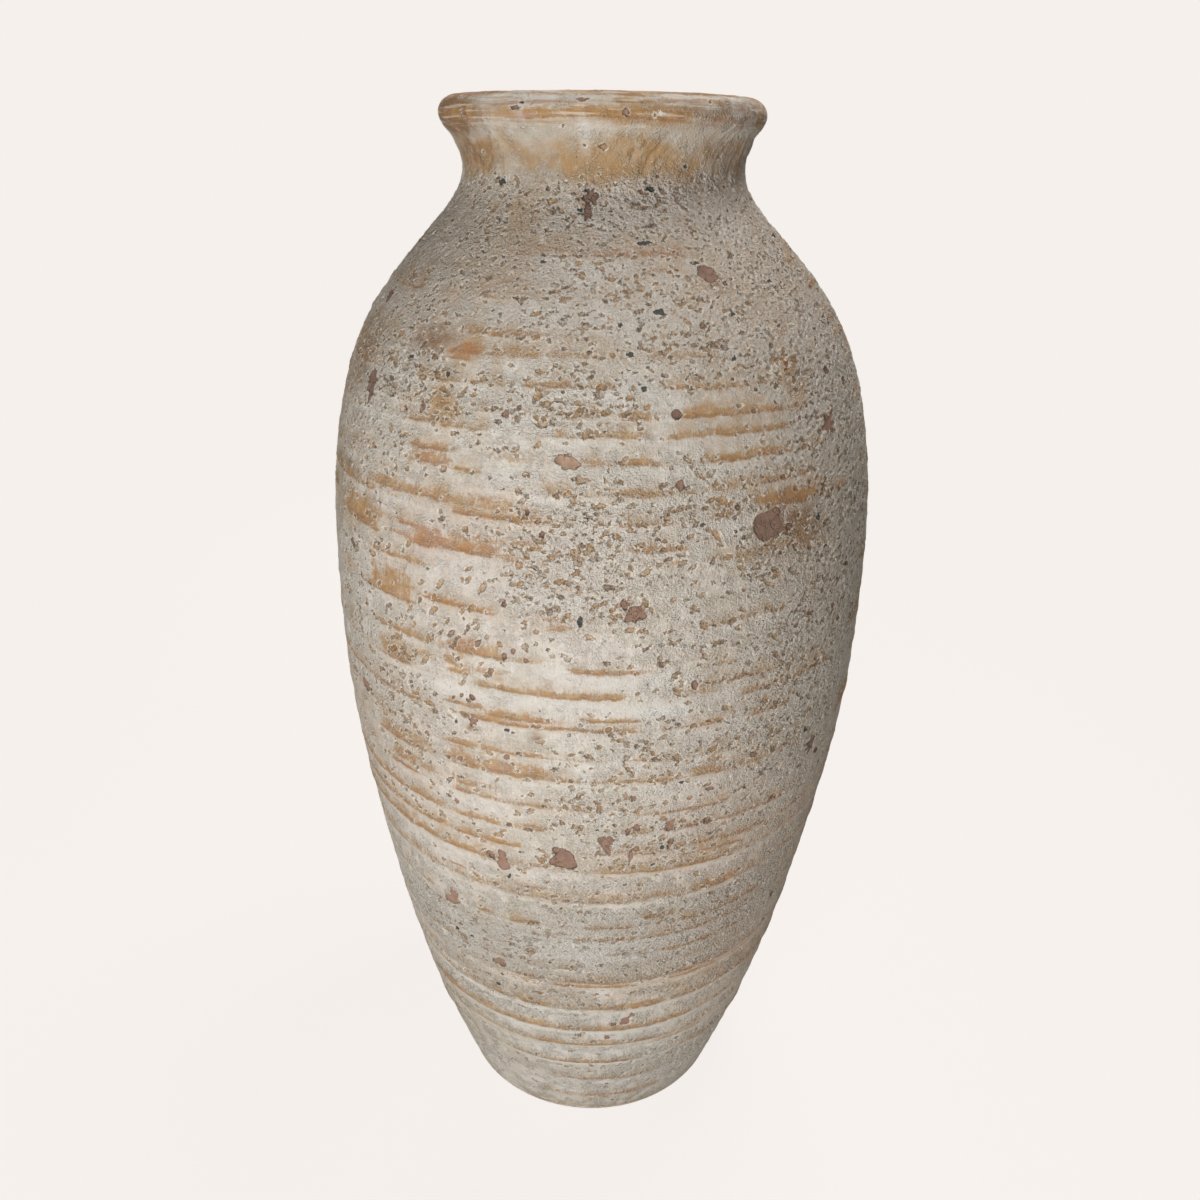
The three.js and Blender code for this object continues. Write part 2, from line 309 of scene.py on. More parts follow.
# Bands of the side that faces the camera: height, rise, runs and ridge. Those of the back are random.
BANDS = tuple(Band(*row) for row in (
    (686.5, 6, ((-80, -46, 1), (-44, -30, 0.45), (-24, 1, 0.95), (1, 28, 0.85), (36, 46, 0.5)), 0),
    (694.5, 3, ((-34, -26, 0.6), (4, 24, 0.75), (30, 44, 0.5)), 0),
    (698.2, 3, ((-70, -20, 0.9), (-16, 62, 0.85)), 0),
    (621, 6, ((-26, -15, 0.4), (-14, -4, 0.55), (-2, 22, 0.6)), 0.5),
    (614, 2.5, ((11, 19, 0.5), (-22, -17, 0.35)), 0.2),
    (600.5, 3, ((-62, -50, 0.55), (-29, -25, 0.7), (-25, -13, 0.45)), 0.6),
    (583.5, 3, ((-31, -24, 0.95), (-24, -11, 0.8), (-8, -2, 0.4), (10, 14, 0.3), (40, 45, 0.5)), 0.6),
    (571.5, 8, ((-33, -28.5, 0.62),), 0),
    (574.5, 4.5, ((-33, -25, 0.9), (-24, -12, 0.7), (-10, 6, 0.4), (10, 24, 0.5)), 0.5),
    (560.8, 3.4, ((-75, -55, 0.5), (-39, -30, 0.8), (-30, -20, 0.45), (-15, -4, 0.8), (-3, 3, 0.7),
         (12, 27.5, 1), (28, 38, 0.45))),
    (564, 13, ((39.5, 42, 0.7),), 0),
    (548, 4.6, ((-24, -19, 0.4), (-5, 0.8, 0.95), (3.5, 8, 0.75), (14.5, 23, 1), (23, 37.5, 1),
         (38, 45, 0.5)), 0.8),
    (541, 14, ((-35.5, -29, 0.85), (-43, -37, 0.45)), 0),
    (538.8, 3.8, ((-39, -28, 0.75), (-30, -21, 0.6), (-8, -5, 0.5), (-2.5, 8, 0.75), (12.5, 20, 0.6),
         (21.5, 37.5, 1)), 0.8),
    (519, 9, ((-37, -29.5, 0.75),), 0),
    (525.8, 4.6, ((-38, -29, 0.8), (-20, -14, 0.35), (-3, 1, 0.5), (4, 10, 0.8), (19, 29.8, 1), (29, 39, 0.9),
         (41, 50, 0.5)), 0.8),
    (518, 2.8, ((-41, -36, 0.5), (-28.5, -22, 0.9), (-60, -50, 0.4)), 0.3),
    (511, 3.8, ((-10, -5.5, 0.9), (-2, 0, 0.6), (2, 12, 0.9), (12, 17, 0.5), (20, 30, 0.6), (31, 43, 1)),
         0.8),
    (501, 6.5, ((-49, -38, 0.7), (-38.5, -28, 1), (-28, -12, 0.5), (20, 26, 0.5)), 0.4),
    (498, 9, ((30, 46, 0.95),), 0),
    (496, 4, ((-72, -49, 1), (-27.5, -17, 0.85), (-17.5, -10, 0.9), (3, 13, 0.6), (20, 25, 0.5),
         (32, 56, 0.8)), 0.8),
    (482, 4.5, ((-47, -40, 0.5), (-41.5, -36, 0.9), (-28, -18, 0.6), (-16, -9.5, 0.8), (5.5, 14, 0.8)), 0.6),
    (472, 16, ((-61, -46, 0.95), (-36.5, -30.8, 1)), 0.3),
    (475.5, 8, ((-30.5, -18, 0.85),), 0),
    (474.5, 3.4, ((-61, -46, 1), (-41, -36, 0.6), (-30, -18, 1), (-19, -13, 0.5), (6, 14, 0.4),
         (19, 45, 0.5)), 0.5),
    (461, 3.4, ((-50, -33, 0.6), (-8, -5, 0.4)), 0.4),
    (441, 17, ((-49, -46, 0.5), (-44, -36.5, 0.48)), 0),
    (443.5, 3.4, ((-33, -19.5, 0.9), (-11, -6, 0.5), (-5, 0, 0.4)), 0.6),
    (437.8, 4.2, ((-51, -37, 0.95), (-11, -6, 0.6), (18, 37, 0.55)), 0.6),
    (416.5, 5, ((-46, -36.5, 0.85), (-37, -33, 0.6), (-28.2, -18, 1), (-17, -10, 0.35)), 0.8),
    (417, 8, ((-28.2, -18, 0.85),), 0),
    (401.5, 18, ((-28.2, -26, 0.85),), 0),
    (405.5, 5.5, ((-27, -18.5, 0.45), (-38, -30, 0.5)), 0),
    (412, 3.6, ((-5.5, 6, 0.9), (6, 10, 0.5), (20, 26, 0.45)), 0.3),
    (397, 13, ((-46.5, -37.5, 0.72),), 0),
    (396.5, 4.6, ((-46.5, -38, 0.85), (-22.4, -12.5, 1), (-12, 4, 1), (14, 22, 0.5)), 1),
    (400.8, 2.4, ((18, 29, 1), (29, 37, 0.6)), 0.5),
    (390, 4.5, ((28, 38, 0.7), (40, 51, 0.9)), 0.5),
    (379.5, 5.5, ((-20.5, -8.5, 1),), 0),
    (382, 3, ((-52, -40, 0.4), (-28.8, -21, 1), (-3.5, 7.5, 0.9)), 0.6),
    (376.2, 2.8, ((-68, -38, 0.85), (-39, -34.5, 1), (-28, -9, 1), (-9, 7, 0.95), (11, 17, 0.5),
         (17.5, 25, 1), (30.5, 38, 1)), 0.8),
    (356.5, 4.6, ((-51, -43, 0.6), (-28.6, -23.8, 1), (-22, -18, 1)), 0.4),
    (356.5, 3, ((-18.5, -9, 0.95), (-9, 0, 0.5), (6, 16, 0.7), (18, 26, 0.6)), 0.8),
    (343.5, 10.5, ((-50, -34, 0.5), (-29.6, -23.8, 1), (-22.4, -17, 1), (-17, -9.5, 0.7)), 0),
    (341.8, 3.2, ((-49.5, -37, 0.9), (-29.6, -24, 0.6), (-22, -9.5, 1), (-10, -4, 0.7), (0.5, 14.8, 1),
         (18.5, 24.5, 0.95), (25, 44, 0.4)), 0.9),
    (340.5, 17, ((22.2, 23.8, 0.8),), 0),
    (327.5, 9, ((-46.5, -39.5, 0.8), (-39, -34, 0.4), (-28.5, -20.5, 0.55)), 0.2),
    (321.8, 3.2, ((-47.5, -39.5, 0.85), (-29, -19.5, 1), (-19, 2, 0.6)), 0.9),
    (317, 2.8, ((7, 12, 0.6), (12.5, 25.5, 0.85), (30, 38, 0.5)), 0.6),
    (303.5, 4.8, ((-70, -42, 0.9), (-42.5, -33, 1), (-29.2, -19, 1), (-19, -15, 0.6), (-15, -9.5, 0.9),
         (6, 10.5, 0.7)), 0.9),
    (304, 3, ((13.5, 19.5, 1), (20, 28, 1), (28, 43, 0.75)), 0.8),
    (287.5, 5, ((-66, -50, 0.8), (-50.5, -43, 0.95), (-42.5, -33.2, 0.9), (-30, -19.5, 1), (-19.5, -16, 0.7),
         (7.5, 12.6, 0.9)), 0.9),
    (289, 2.8, ((18.5, 38.5, 1), (43, 54, 0.5)), 0.6),
    (281.8, 2.4, ((19.5, 33, 0.95),), 0.6),
    (273.8, 4.2, ((-68, -50, 0.8), (-51, -36, 1), (-36, -23, 0.95), (-13, -9, 0.6), (2, 8, 0.5)), 0.9),
    (272.2, 3, ((9, 15, 0.9), (15, 31, 1), (40, 52, 0.3)), 0.8),
    (248.5, 8, ((-66, -50, 0.5), (-50, -34, 0.4), (-34, -24, 0.5), (-22.5, -8, 0.45), (8, 18, 0.5),
         (21, 32, 0.7), (32, 40, 0.5))),
    (247.8, 1.8, ((-29, -24, 0.8), (-19, 8, 0.7), (26, 31, 0.6), (31, 44, 0.4))),
    (255.5, 2, ((-34, -29, 0.7), (-22, -9, 0.6), (-8, 10, 0.4)), 0.2),
    (231, 4, ((11, 18, 0.8),), 0.3),
    (223.5, 3.4, ((-60, -52, 0.5), (-46, -42, 0.6), (-28.5, -24.6, 0.9), (-19.6, -13.5, 1), (-2, 9, 0.85),
         (19, 42, 0.85)), 0.4),
    (212.8, 3.6, ((-3, 10.2, 1), (11.5, 20.5, 0.95), (21, 29.5, 1), (29, 42, 0.5)), 0.45),
    (197.5, 3.2, ((-28, -20, 0.4), (4, 12, 0.7), (17.5, 42, 0.85)), 0.35),
    (184, 3, ((-47, -39, 0.6), (-26, -22, 0.5), (-18, -14, 0.5), (-9, -5.5, 0.7)), 0.5),
    (170.2, 3.6, ((-36, -31, 0.5), (-20.5, -13, 1), (-7.5, 5.5, 1), (9, 17.5, 0.8), (20, 28, 0.7)), 0.8),
    (165.8, 2.6, ((-18, -12, 0.6), (-9.5, 10, 1), (20, 33, 0.7))),
    (141.5, 6.4, ((-48, -42, 0.5), (-32.5, -24.5, 0.85), (-20.3, -12, 0.9), (-9, -2, 0.5), (-1.5, 10, 0.75),
         (10.5, 17.5, 0.95), (20, 36, 0.6)), 0.9),
    (117, 6, ((-50, -41, 0.5), (-41, -26, 0.6), (-26, -7, 0.7), (-3.8, 10, 1), (10, 30, 0.7), (30, 44, 0.4)),
         1),
    (97.8, 2.8, ((-35, -16, 0.5), (-16, 9, 0.85), (10, 20, 0.8)), 0.9),
    (92.5, 2.8, ((-2, 9, 0.4), (18, 36, 0.7), (36, 50, 0.3)), 0.5),
    (74.5, 2.4, ((-30, -12, 0.5), (-12, 14, 0.85), (28, 40, 0.6)), 0.9),
    (48.5, 5, ((-16, -8, 0.3), (-4, 18, 0.5), (18, 26, 0.35)), 0.5),
    (22, 7, ((-24, -6, 0.35), (-6, 28, 0.5)), 0.4),
    (3, 2, ((-30, 36, 0.5),), 0),
))


class MarkKind(Enum):
    """What a mark on the wash is."""

    CHIP = "a flake broken off down to the clay"
    GRAIN = "a dark grain of stone in the wash"
    PALE = "a pale lump of lime"


@dataclass(frozen=True)
class Mark:
    """One mark on the wash: where it lies, how wide and tall it is, its lean, how jagged it is, and the
    tone of a chip's clay, from pale at 0 to dark at 1."""

    kind: MarkKind
    angle: float
    height: float
    wide: float
    tall: float
    lean: float = 0.0
    jag: float = 0.18
    tone: float = 0.5


CHIP = MarkKind.CHIP
GRAIN = MarkKind.GRAIN
PALE = MarkKind.PALE

# Marks on the side that faces the camera, about from the rim down, with their values in Mark's order.
MARKS = tuple(Mark(*row) for row in (
    (CHIP, -27.8, 691, 5, 2.2), (CHIP, -5.8, 695, 5.5, 2), (CHIP, -51.5, 689, 5, 2),
    (CHIP, 7.2, 689, 3.4, 3.6, 20), (PALE, 18, 689, 3.6, 2), (GRAIN, -25.5, 693.5, 2.6, 1.4),
    (CHIP, -4.2, 649, 6, 10, 0, 0.2, 0.95), (CHIP, -5, 642, 5, 8.5, -15, 0.2, 0.95), (GRAIN, -6, 652, 3.2, 2),
    (GRAIN, -7.6, 643, 3, 2.6), (GRAIN, -40, 655, 5.2, 3.8), (GRAIN, 17, 653, 4.6, 3, 20),
    (GRAIN, 31.8, 664, 2.8, 1.8), (GRAIN, 11.6, 627.6, 8, 2.2, 8), (CHIP, 27.4, 613, 12, 10.6, 0, 0.14, 0.75),
    (GRAIN, 25.2, 618.4, 6, 1.4, -6), (CHIP, -66, 594, 9, 8, 0, 0.2, 1), (GRAIN, 47, 607.4, 4.5, 2.2),
    (GRAIN, -16, 618.5, 3.8, 2), (GRAIN, 12.4, 596.7, 4.8, 4.2), (GRAIN, 3.6, 591, 2.8, 2.6),
    (GRAIN, 5.4, 577.8, 3.8, 3.2), (GRAIN, 7.8, 562, 2.8, 2.8), (GRAIN, 30.2, 594.4, 2.4, 2.2),
    (GRAIN, 27.3, 574, 2.2, 4, -25), (GRAIN, -43.5, 569, 3.6, 2.2), (GRAIN, -32, 563.5, 3, 2.8),
    (CHIP, -55.2, 550, 10.5, 16, 8, 0.18, 0.95), (CHIP, -36.7, 546, 3, 5.5), (CHIP, -18.1, 548, 3.8, 4),
    (CHIP, -6.1, 526.8, 11.5, 7.4, -18, 0.16, 0.12), (CHIP, 13.7, 549.6, 5.4, 5.6, 0, 0.12, 0.9),
    (CHIP, 50.6, 534, 12.5, 10.5, 20, 0.3), (PALE, 58.5, 652, 6.4, 2.4), (CHIP, 54, 561, 6, 5, 0, 0.2, 1.2),
    (CHIP, 61.4, 552.4, 5, 4.5, 0, 0.2, 1.2), (GRAIN, 64.6, 582, 3.6, 2.6), (PALE, -16.6, 561, 4, 1.8),
    (PALE, 6.3, 531.5, 2.6, 2.4), (CHIP, 13.9, 515, 5, 5), (CHIP, 24.8, 501, 3, 3),
    (CHIP, -10.2, 489.7, 2.6, 4), (CHIP, 31.6, 489, 21.5, 17, 6, 0.07, 0.8), (GRAIN, 44.7, 486, 4.6, 4.6),
    (CHIP, 36.5, 485, 5, 3.2), (GRAIN, 18, 494, 2.4, 2.8), (GRAIN, 24.4, 488.5, 2.2, 2),
    (CHIP, -12.9, 500.5, 2.2, 3.4), (CHIP, 6.2, 447.5, 11, 8.5, 15, 0.22),
    (CHIP, 4.2, 453, 3.4, 6.5, 20, 0.2), (GRAIN, -3.4, 443.5, 4, 5, 0, 0.16), (CHIP, -16.9, 449.7, 2.2, 5),
    (CHIP, -57.4, 456, 7, 4.6, -30, 0.2, 1), (CHIP, 51.8, 426, 5, 4, -30),
    (CHIP, 56.6, 448, 6, 3.4, 0, 0.2, 1.2), (CHIP, 43.8, 429, 6, 2.6), (PALE, 55.3, 438, 8, 2),
    (CHIP, -17, 418.8, 3.4, 4.2), (CHIP, -15.3, 423, 2.8, 2.8), (CHIP, -13, 418, 2.8, 2.8),
    (CHIP, 17.5, 402.6, 4.6, 5.2, 0, 0.25), (CHIP, -23.7, 389.5, 3, 3.8), (CHIP, -26, 389.2, 2.6, 2.6),
    (CHIP, -24.6, 387, 3, 2), (CHIP, -23.8, 374, 4.6, 6, 0, 0.3), (GRAIN, -16.9, 372.6, 3.2, 2.8),
    (GRAIN, -27.6, 371, 2, 3.6), (CHIP, -56.3, 363, 11, 7.5, -30), (CHIP, -17.1, 354.6, 3.6, 4),
    (CHIP, -35, 355, 3, 4.2), (GRAIN, 47, 347, 4, 3.6), (GRAIN, 16.3, 339, 4, 2.4), (CHIP, 22.5, 330.5, 6, 3),
    (CHIP, 50.5, 331.5, 9.5, 10, 0, 0.24, 1), (CHIP, 54, 322, 8, 4.5, -20, 0.2, 1.2), (CHIP, 7, 331, 3.6, 4),
    (CHIP, -29.3, 312, 3, 4, 20), (GRAIN, 0.3, 308, 2.2, 2.4), (CHIP, 2, 297, 7.6, 12, 28, 0.28),
    (CHIP, 8, 309, 4.4, 5.2, 0, 0.3), (CHIP, 6.3, 306.5, 2.8, 6), (CHIP, 14.7, 308, 6.4, 7, 0, 0.3),
    (CHIP, 15.2, 294, 3.6, 7, -15, 0.3), (GRAIN, 13.5, 291.5, 3, 3.4, 20), (CHIP, 7.1, 287, 2.4, 11.5),
    (GRAIN, 12, 278.5, 3.4, 2), (CHIP, -6.4, 282.5, 16.5, 14, -8, 0.14, 0.75),
    (CHIP, -7.4, 290, 8, 6, 10, 0.15, 0.75), (CHIP, -19.6, 271.5, 9.5, 9, 0, 0.2),
    (CHIP, -19.7, 278.5, 5.2, 10, 0, 0.2), (CHIP, -22.3, 277, 4.8, 6.4), (GRAIN, -18.6, 262.5, 2.6, 4, -20),
    (CHIP, -36, 220.5, 12.5, 8, 10, 0.14, 0.3), (CHIP, -35, 227, 6, 9, 0, 0.2, 0.3),
    (CHIP, -24.4, 176.5, 9.4, 7.6, 20, 0.14, 0.4), (GRAIN, -24, 164.6, 3, 3.6), (GRAIN, -31.7, 192, 3.2, 3),
    (GRAIN, -36.6, 191.5, 4, 2.4), (GRAIN, -26.2, 151.6, 3.6, 3.4), (CHIP, 9.6, 126, 6.4, 8, -20, 0.3),
    (CHIP, 11.2, 132, 3.4, 6, -35, 0.3), (CHIP, 6.3, 124, 5, 2.8), (CHIP, 4.8, 107.5, 4, 3.4, 0, 0.4),
    (PALE, 25, 177, 2.2, 5, 30), (CHIP, 53, 200, 6, 7, 30, 0.2, 1.2),
))


@dataclass(frozen=True)
class Zone:
    """A soft-edged place on the jar: its middle, how far it reaches along the girth and up in mm, and its
    amount."""

    angle: float
    height: float
    along: float
    up: float
    amount: float


def places(*rows: tuple[float, float, float, float, float]) -> tuple[Zone, ...]:
    """Zones from rows of their values."""
    return tuple(Zone(*row) for row in rows)


# Where pits crowd on the side that faces the camera; negative amounts thin them out.
PIT_ZONES = places(
    (4, 648, 28, 14, 0.9), (-30, 650, 30, 12, 0.25), (40, 640, 40, 22, 0.7), (8, 610, 45, 16, 0.5),
    (45, 600, 60, 30, 0.8), (-42, 570, 28, 14, 0.8), (5, 585, 50, 20, 0.45), (60, 560, 50, 30, 0.8),
    (-20, 550, 50, 12, 0.5), (-2, 552, 30, 12, 0.3), (50, 500, 50, 60, 0.8), (24, 548, 26, 14, -0.5),
    (20, 508, 24, 14, 0.5), (0, 505, 30, 16, 0.5), (-8, 478, 26, 22, 0.85), (8, 470, 26, 26, 0.45),
    (-4, 450, 30, 14, 0.6), (52, 440, 50, 60, 0.8), (36, 466, 22, 18, 0.6), (-12, 398, 40, 12, -0.6),
    (16, 420, 24, 20, 0.3), (36, 400, 28, 20, 0.35), (-38, 395, 34, 30, 0.2), (-42, 360, 30, 24, 0.4),
    (2, 362, 20, 12, 0.3), (14, 362, 30, 18, 0.4), (30, 365, 24, 20, 0.5), (46, 365, 30, 30, 0.7),
    (-4, 325, 16, 16, 0.6), (6, 305, 30, 22, 0.6), (12, 280, 44, 16, 0.6), (-10, 270, 30, 14, 0.35),
    (36, 320, 40, 30, 0.4), (0, 235, 60, 16, 0.7), (-12, 205, 60, 14, 0.8), (16, 200, 50, 20, 0.8),
    (30, 225, 50, 20, 0.6), (-40, 200, 60, 18, 0.5), (-10, 172, 20, 14, 0.5), (14, 178, 24, 16, 0.5),
    (26, 62, 44, 24, 0.5), (-36, 165, 40, 18, 0.4), (-5, 150, 12, 12, 0.4), (-35, 130, 40, 10, 0.3),
    (-5, 128, 8, 12, 0.4), (-29, 436, 14, 16, 0.12), (-55, 540, 40, 30, 0.4), (-50, 610, 40, 30, 0.25),
    (-38, 579, 13, 6, -1.2), (-29, 574, 8, 7, -1), (-58, 415, 22, 40, 0.5), (0, 182, 90, 32, 0.3),
    (4, 194, 9, 10, -0.8), (4, 158, 9, 5, -0.6), (40, 484, 13, 11, -1.1), (38, 502, 26, 4, -1),
    (-41, 447, 14, 8, -0.4), (-5.5, 118, 5, 18, 0.6),
)

# Stains in the wash on the side that faces the camera: brown, ochre, moss grey-green, lime and rose; the
# broad moss and rose places near 60 degrees darken the jar's right side.
BROWN_ZONES = places(
    (-39, 579, 13, 6.5, 1), (-67, 485, 12, 26, 0.4), (-64, 575, 20, 10, 0.5), (-65, 556, 16, 12, 0.6),
    (40, 484, 14, 9, 1.3), (37, 502, 24, 3.6, 1), (30, 473, 12, 5, 0.45), (-7, 648.5, 2.6, 2.6, 1),
    (46, 672, 14, 5, 0.35), (-60, 688, 22, 7, 1.3), (-62, 500, 22, 4, 0.5), (52, 560, 20, 8, 0.2),
    (28, 486, 3, 4, 0.7), (29.5, 608, 6, 3, 0.7), (-24, 369, 4, 2, 0.8), (-11.5, 371, 4, 3, 0.7),
    (42.5, 566, 5, 7, 0.5), (-58, 668, 22, 8, 0.55), (-25, 666, 12, 8, 0.25), (54, 691, 34, 7, 0.6),
    (-70, 688, 22, 7, 0.7),
)
OCHRE_ZONES = places(
    (-51, 667, 14, 7, 0.9), (-35, 676, 5, 7, 0.6), (-11, 666, 9, 8, 1.1), (8, 670, 16, 8, 1.2),
    (-1, 660, 12, 6, 0.9), (26, 672, 14, 7, 0.3), (48, 670, 22, 8, 0.35), (-66, 668, 14, 9, 1),
    (0, 668, 150, 10, 0.35), (32, 660, 12, 5, 0.35), (-28, 668, 10, 5, 0.6), (-8, 648, 2.5, 3, 0.9),
    (-28, 620, 20, 15, 0.8), (-25, 644, 14, 6, 0.6), (-9, 626, 16, 5, 0.7), (26, 606, 9, 7, 0.5),
    (-32, 548, 7, 8, 0.6), (-28.5, 576, 7, 6, 0.5), (-60, 575, 26, 10, 0.4), (-58, 520, 22, 10, 0.3),
    (-41, 446, 14, 6, 0.25), (-42, 404, 13, 7, 0.5), (-41, 345, 20, 5, 0.4), (-40, 332, 20, 5, 0.35),
    (30, 476, 14, 5, 0.45), (28, 505, 20, 5, 0.3), (-62, 470, 14, 14, 0.4), (28, 250, 16, 5, 0.45),
    (4, 272, 16, 5, 0.3), (-12, 318, 20, 6, 0.25), (0, 245, 40, 6, 0.25), (20, 190, 40, 10, 0.2),
    (-22, 500, 26, 8, 0.25), (-36, 690, 16, 4, 0.9), (-60, 690, 24, 6, 1.2), (14, 688, 34, 4, 1),
    (-70, 548, 14, 16, 0.6), (-66, 600, 14, 6, 0.5), (40, 566, 5, 10, 0.7), (43, 556, 5, 4, 0.7),
    (-54, 480, 20, 10, 0.6), (-42, 446, 12, 5, 0.4), (-60, 440, 12, 5, 0.8), (38, 484, 12, 7, 0.8),
    (42, 472, 14, 6, 0.5), (8, 26, 30, 6, 0.5), (4, 53, 20, 4, 0.25), (-60, 406, 10, 6, 0.6),
    (14, 622, 24, 6, 0.7), (0, 281, 240, 8, 0.3), (0, 160, 240, 8, 0.4), (0, 612, 300, 34, 0.27),
    (4, 38, 110, 16, 0.42), (34, 470, 50, 90, 0.2), (0, 560, 300, 20, 0.06), (-60, 340, 24, 20, 0.3),
    (34, 345, 18, 8, 0.3),
)
MOSS_ZONES = places(
    (-60, 620, 60, 26, 0.9), (-60, 674, 30, 8, 1), (-24, 668, 12, 10, 1.2), (0, 526, 18, 6, 0.7),
    (-26, 545, 10, 6, 0.5), (60, 430, 60, 80, 0.4), (-45, 80, 90, 40, 1), (30, 70, 90, 40, 0.7),
    (0, 40, 90, 30, 0.15), (12, 233, 8, 3, 0.7), (-45, 430, 20, 16, 0.3), (-52, 395, 24, 20, 0.4),
    (0, 678, 170, 6, 0.8), (-40, 660, 60, 12, 0.8), (60, 250, 60, 120, 1), (64, 470, 40, 60, 0.9),
    (-68, 490, 24, 60, 0.9), (-62, 330, 30, 60, 0.4), (-45, 640, 50, 18, 0.5), (-12, 240, 30, 6, 0.3),
    (-36, 205, 50, 20, 0.5),
)
LIME_ZONES = places(
    (-8, 389, 60, 5, 0.9), (4, 406, 36, 5, 0.7), (-30, 392, 20, 10, 0.3), (-16, 412, 30, 4, 0.4),
    (-22, 314, 24, 4, 0.7), (-22, 335, 16, 3, 0.4), (12, 388, 20, 5, 0.5), (-34, 262, 40, 5, 0.4),
    (-6, 130, 46, 6, 0.8), (2, 108, 56, 5, 0.9), (-4, 88, 60, 6, 0.7), (4, 64, 40, 6, 0.35),
    (2, 160, 10, 8, 0.7), (0, 203, 50, 11, 1.1), (-36, 200, 14, 10, 0.7), (6, 238, 34, 7, 0.6),
    (-13, 262, 8, 5, 0.3), (-10, 620, 60, 14, 0.7), (5, 645, 40, 8, 0.6), (0, 560, 26, 8, 0.6),
    (5, 519, 14, 7, 0.5), (-10, 482, 26, 8, 0.5), (-20, 458, 36, 10, 0.6), (-6, 460, 16, 12, 0.4),
    (-12, 592, 44, 6, 0.7), (-14, 510, 26, 8, 0.4), (-6, 678, 3, 8, 1), (-4, 682, 16, 3, 0.4),
    (30, 680, 16, 3, 0.4), (-22, 676, 7, 5, 0.4), (-36, 664, 8, 8, 0.4), (24, 533, 30, 4, 0.4),
    (24, 520, 30, 4, 0.4), (18, 586, 30, 8, 0.3), (0, 38, 90, 16, 1.2), (2, 80, 50, 8, 0.8),
    (-42, 690, 9, 8, 0.7), (52, 690, 14, 8, 0.9), (-28, 696, 16, 3.5, 0.8), (-6, 695.5, 12, 2.5, 0.7),
    (24, 696, 16, 2.5, 0.6), (36, 689, 9, 4, 0.6), (-46, 604, 6, 4, 0.8), (-44, 566, 14, 6, 0.35),
    (-2, 350, 10, 8, 0.3), (-32, 478, 6, 16, 0.3),
)
ROSE_ZONES = places(
    (40, 640, 50, 30, 0.8), (50, 560, 60, 50, 0.6), (-48, 640, 30, 20, 0.6), (-30, 470, 60, 30, 0.5),
    (-45, 340, 60, 60, 0.4), (40, 300, 70, 90, 0.6), (45, 180, 60, 60, 0.5), (-5, 470, 50, 40, 0.3),
    (-44, 590, 20, 8, 0.5), (-20, 660, 30, 8, 0.5), (54, 210, 46, 90, 0.8), (60, 470, 50, 50, 0.6),
    (-39, 580, 15, 7, 1.2), (0, 620, 170, 28, 0.6), (-28.5, 575, 8, 6, 0.9), (-26, 420, 12, 8, 0.8),
    (-34, 478, 12, 9, 0.7), (-33, 522, 12, 6, 0.6), (-45, 612, 22, 12, 0.9), (56, 655, 40, 12, 0.7),
    (66, 620, 30, 30, 0.6), (26, 300, 30, 16, 0.4), (36, 460, 20, 10, 0.4),
)

# Where the wrinkles under the rim are deepest, and where the wash hangs in broader folds.
GATHERS = places((-42, 668, 7, 14, 1), (19, 664, 10, 10, 0.6), (-8, 658, 16, 7, 0.7))
FOLDS = places((-43, 664, 9, 16, 1), (50, 668, 12, 14, 0.55), (64, 664, 14, 13, 0.4))


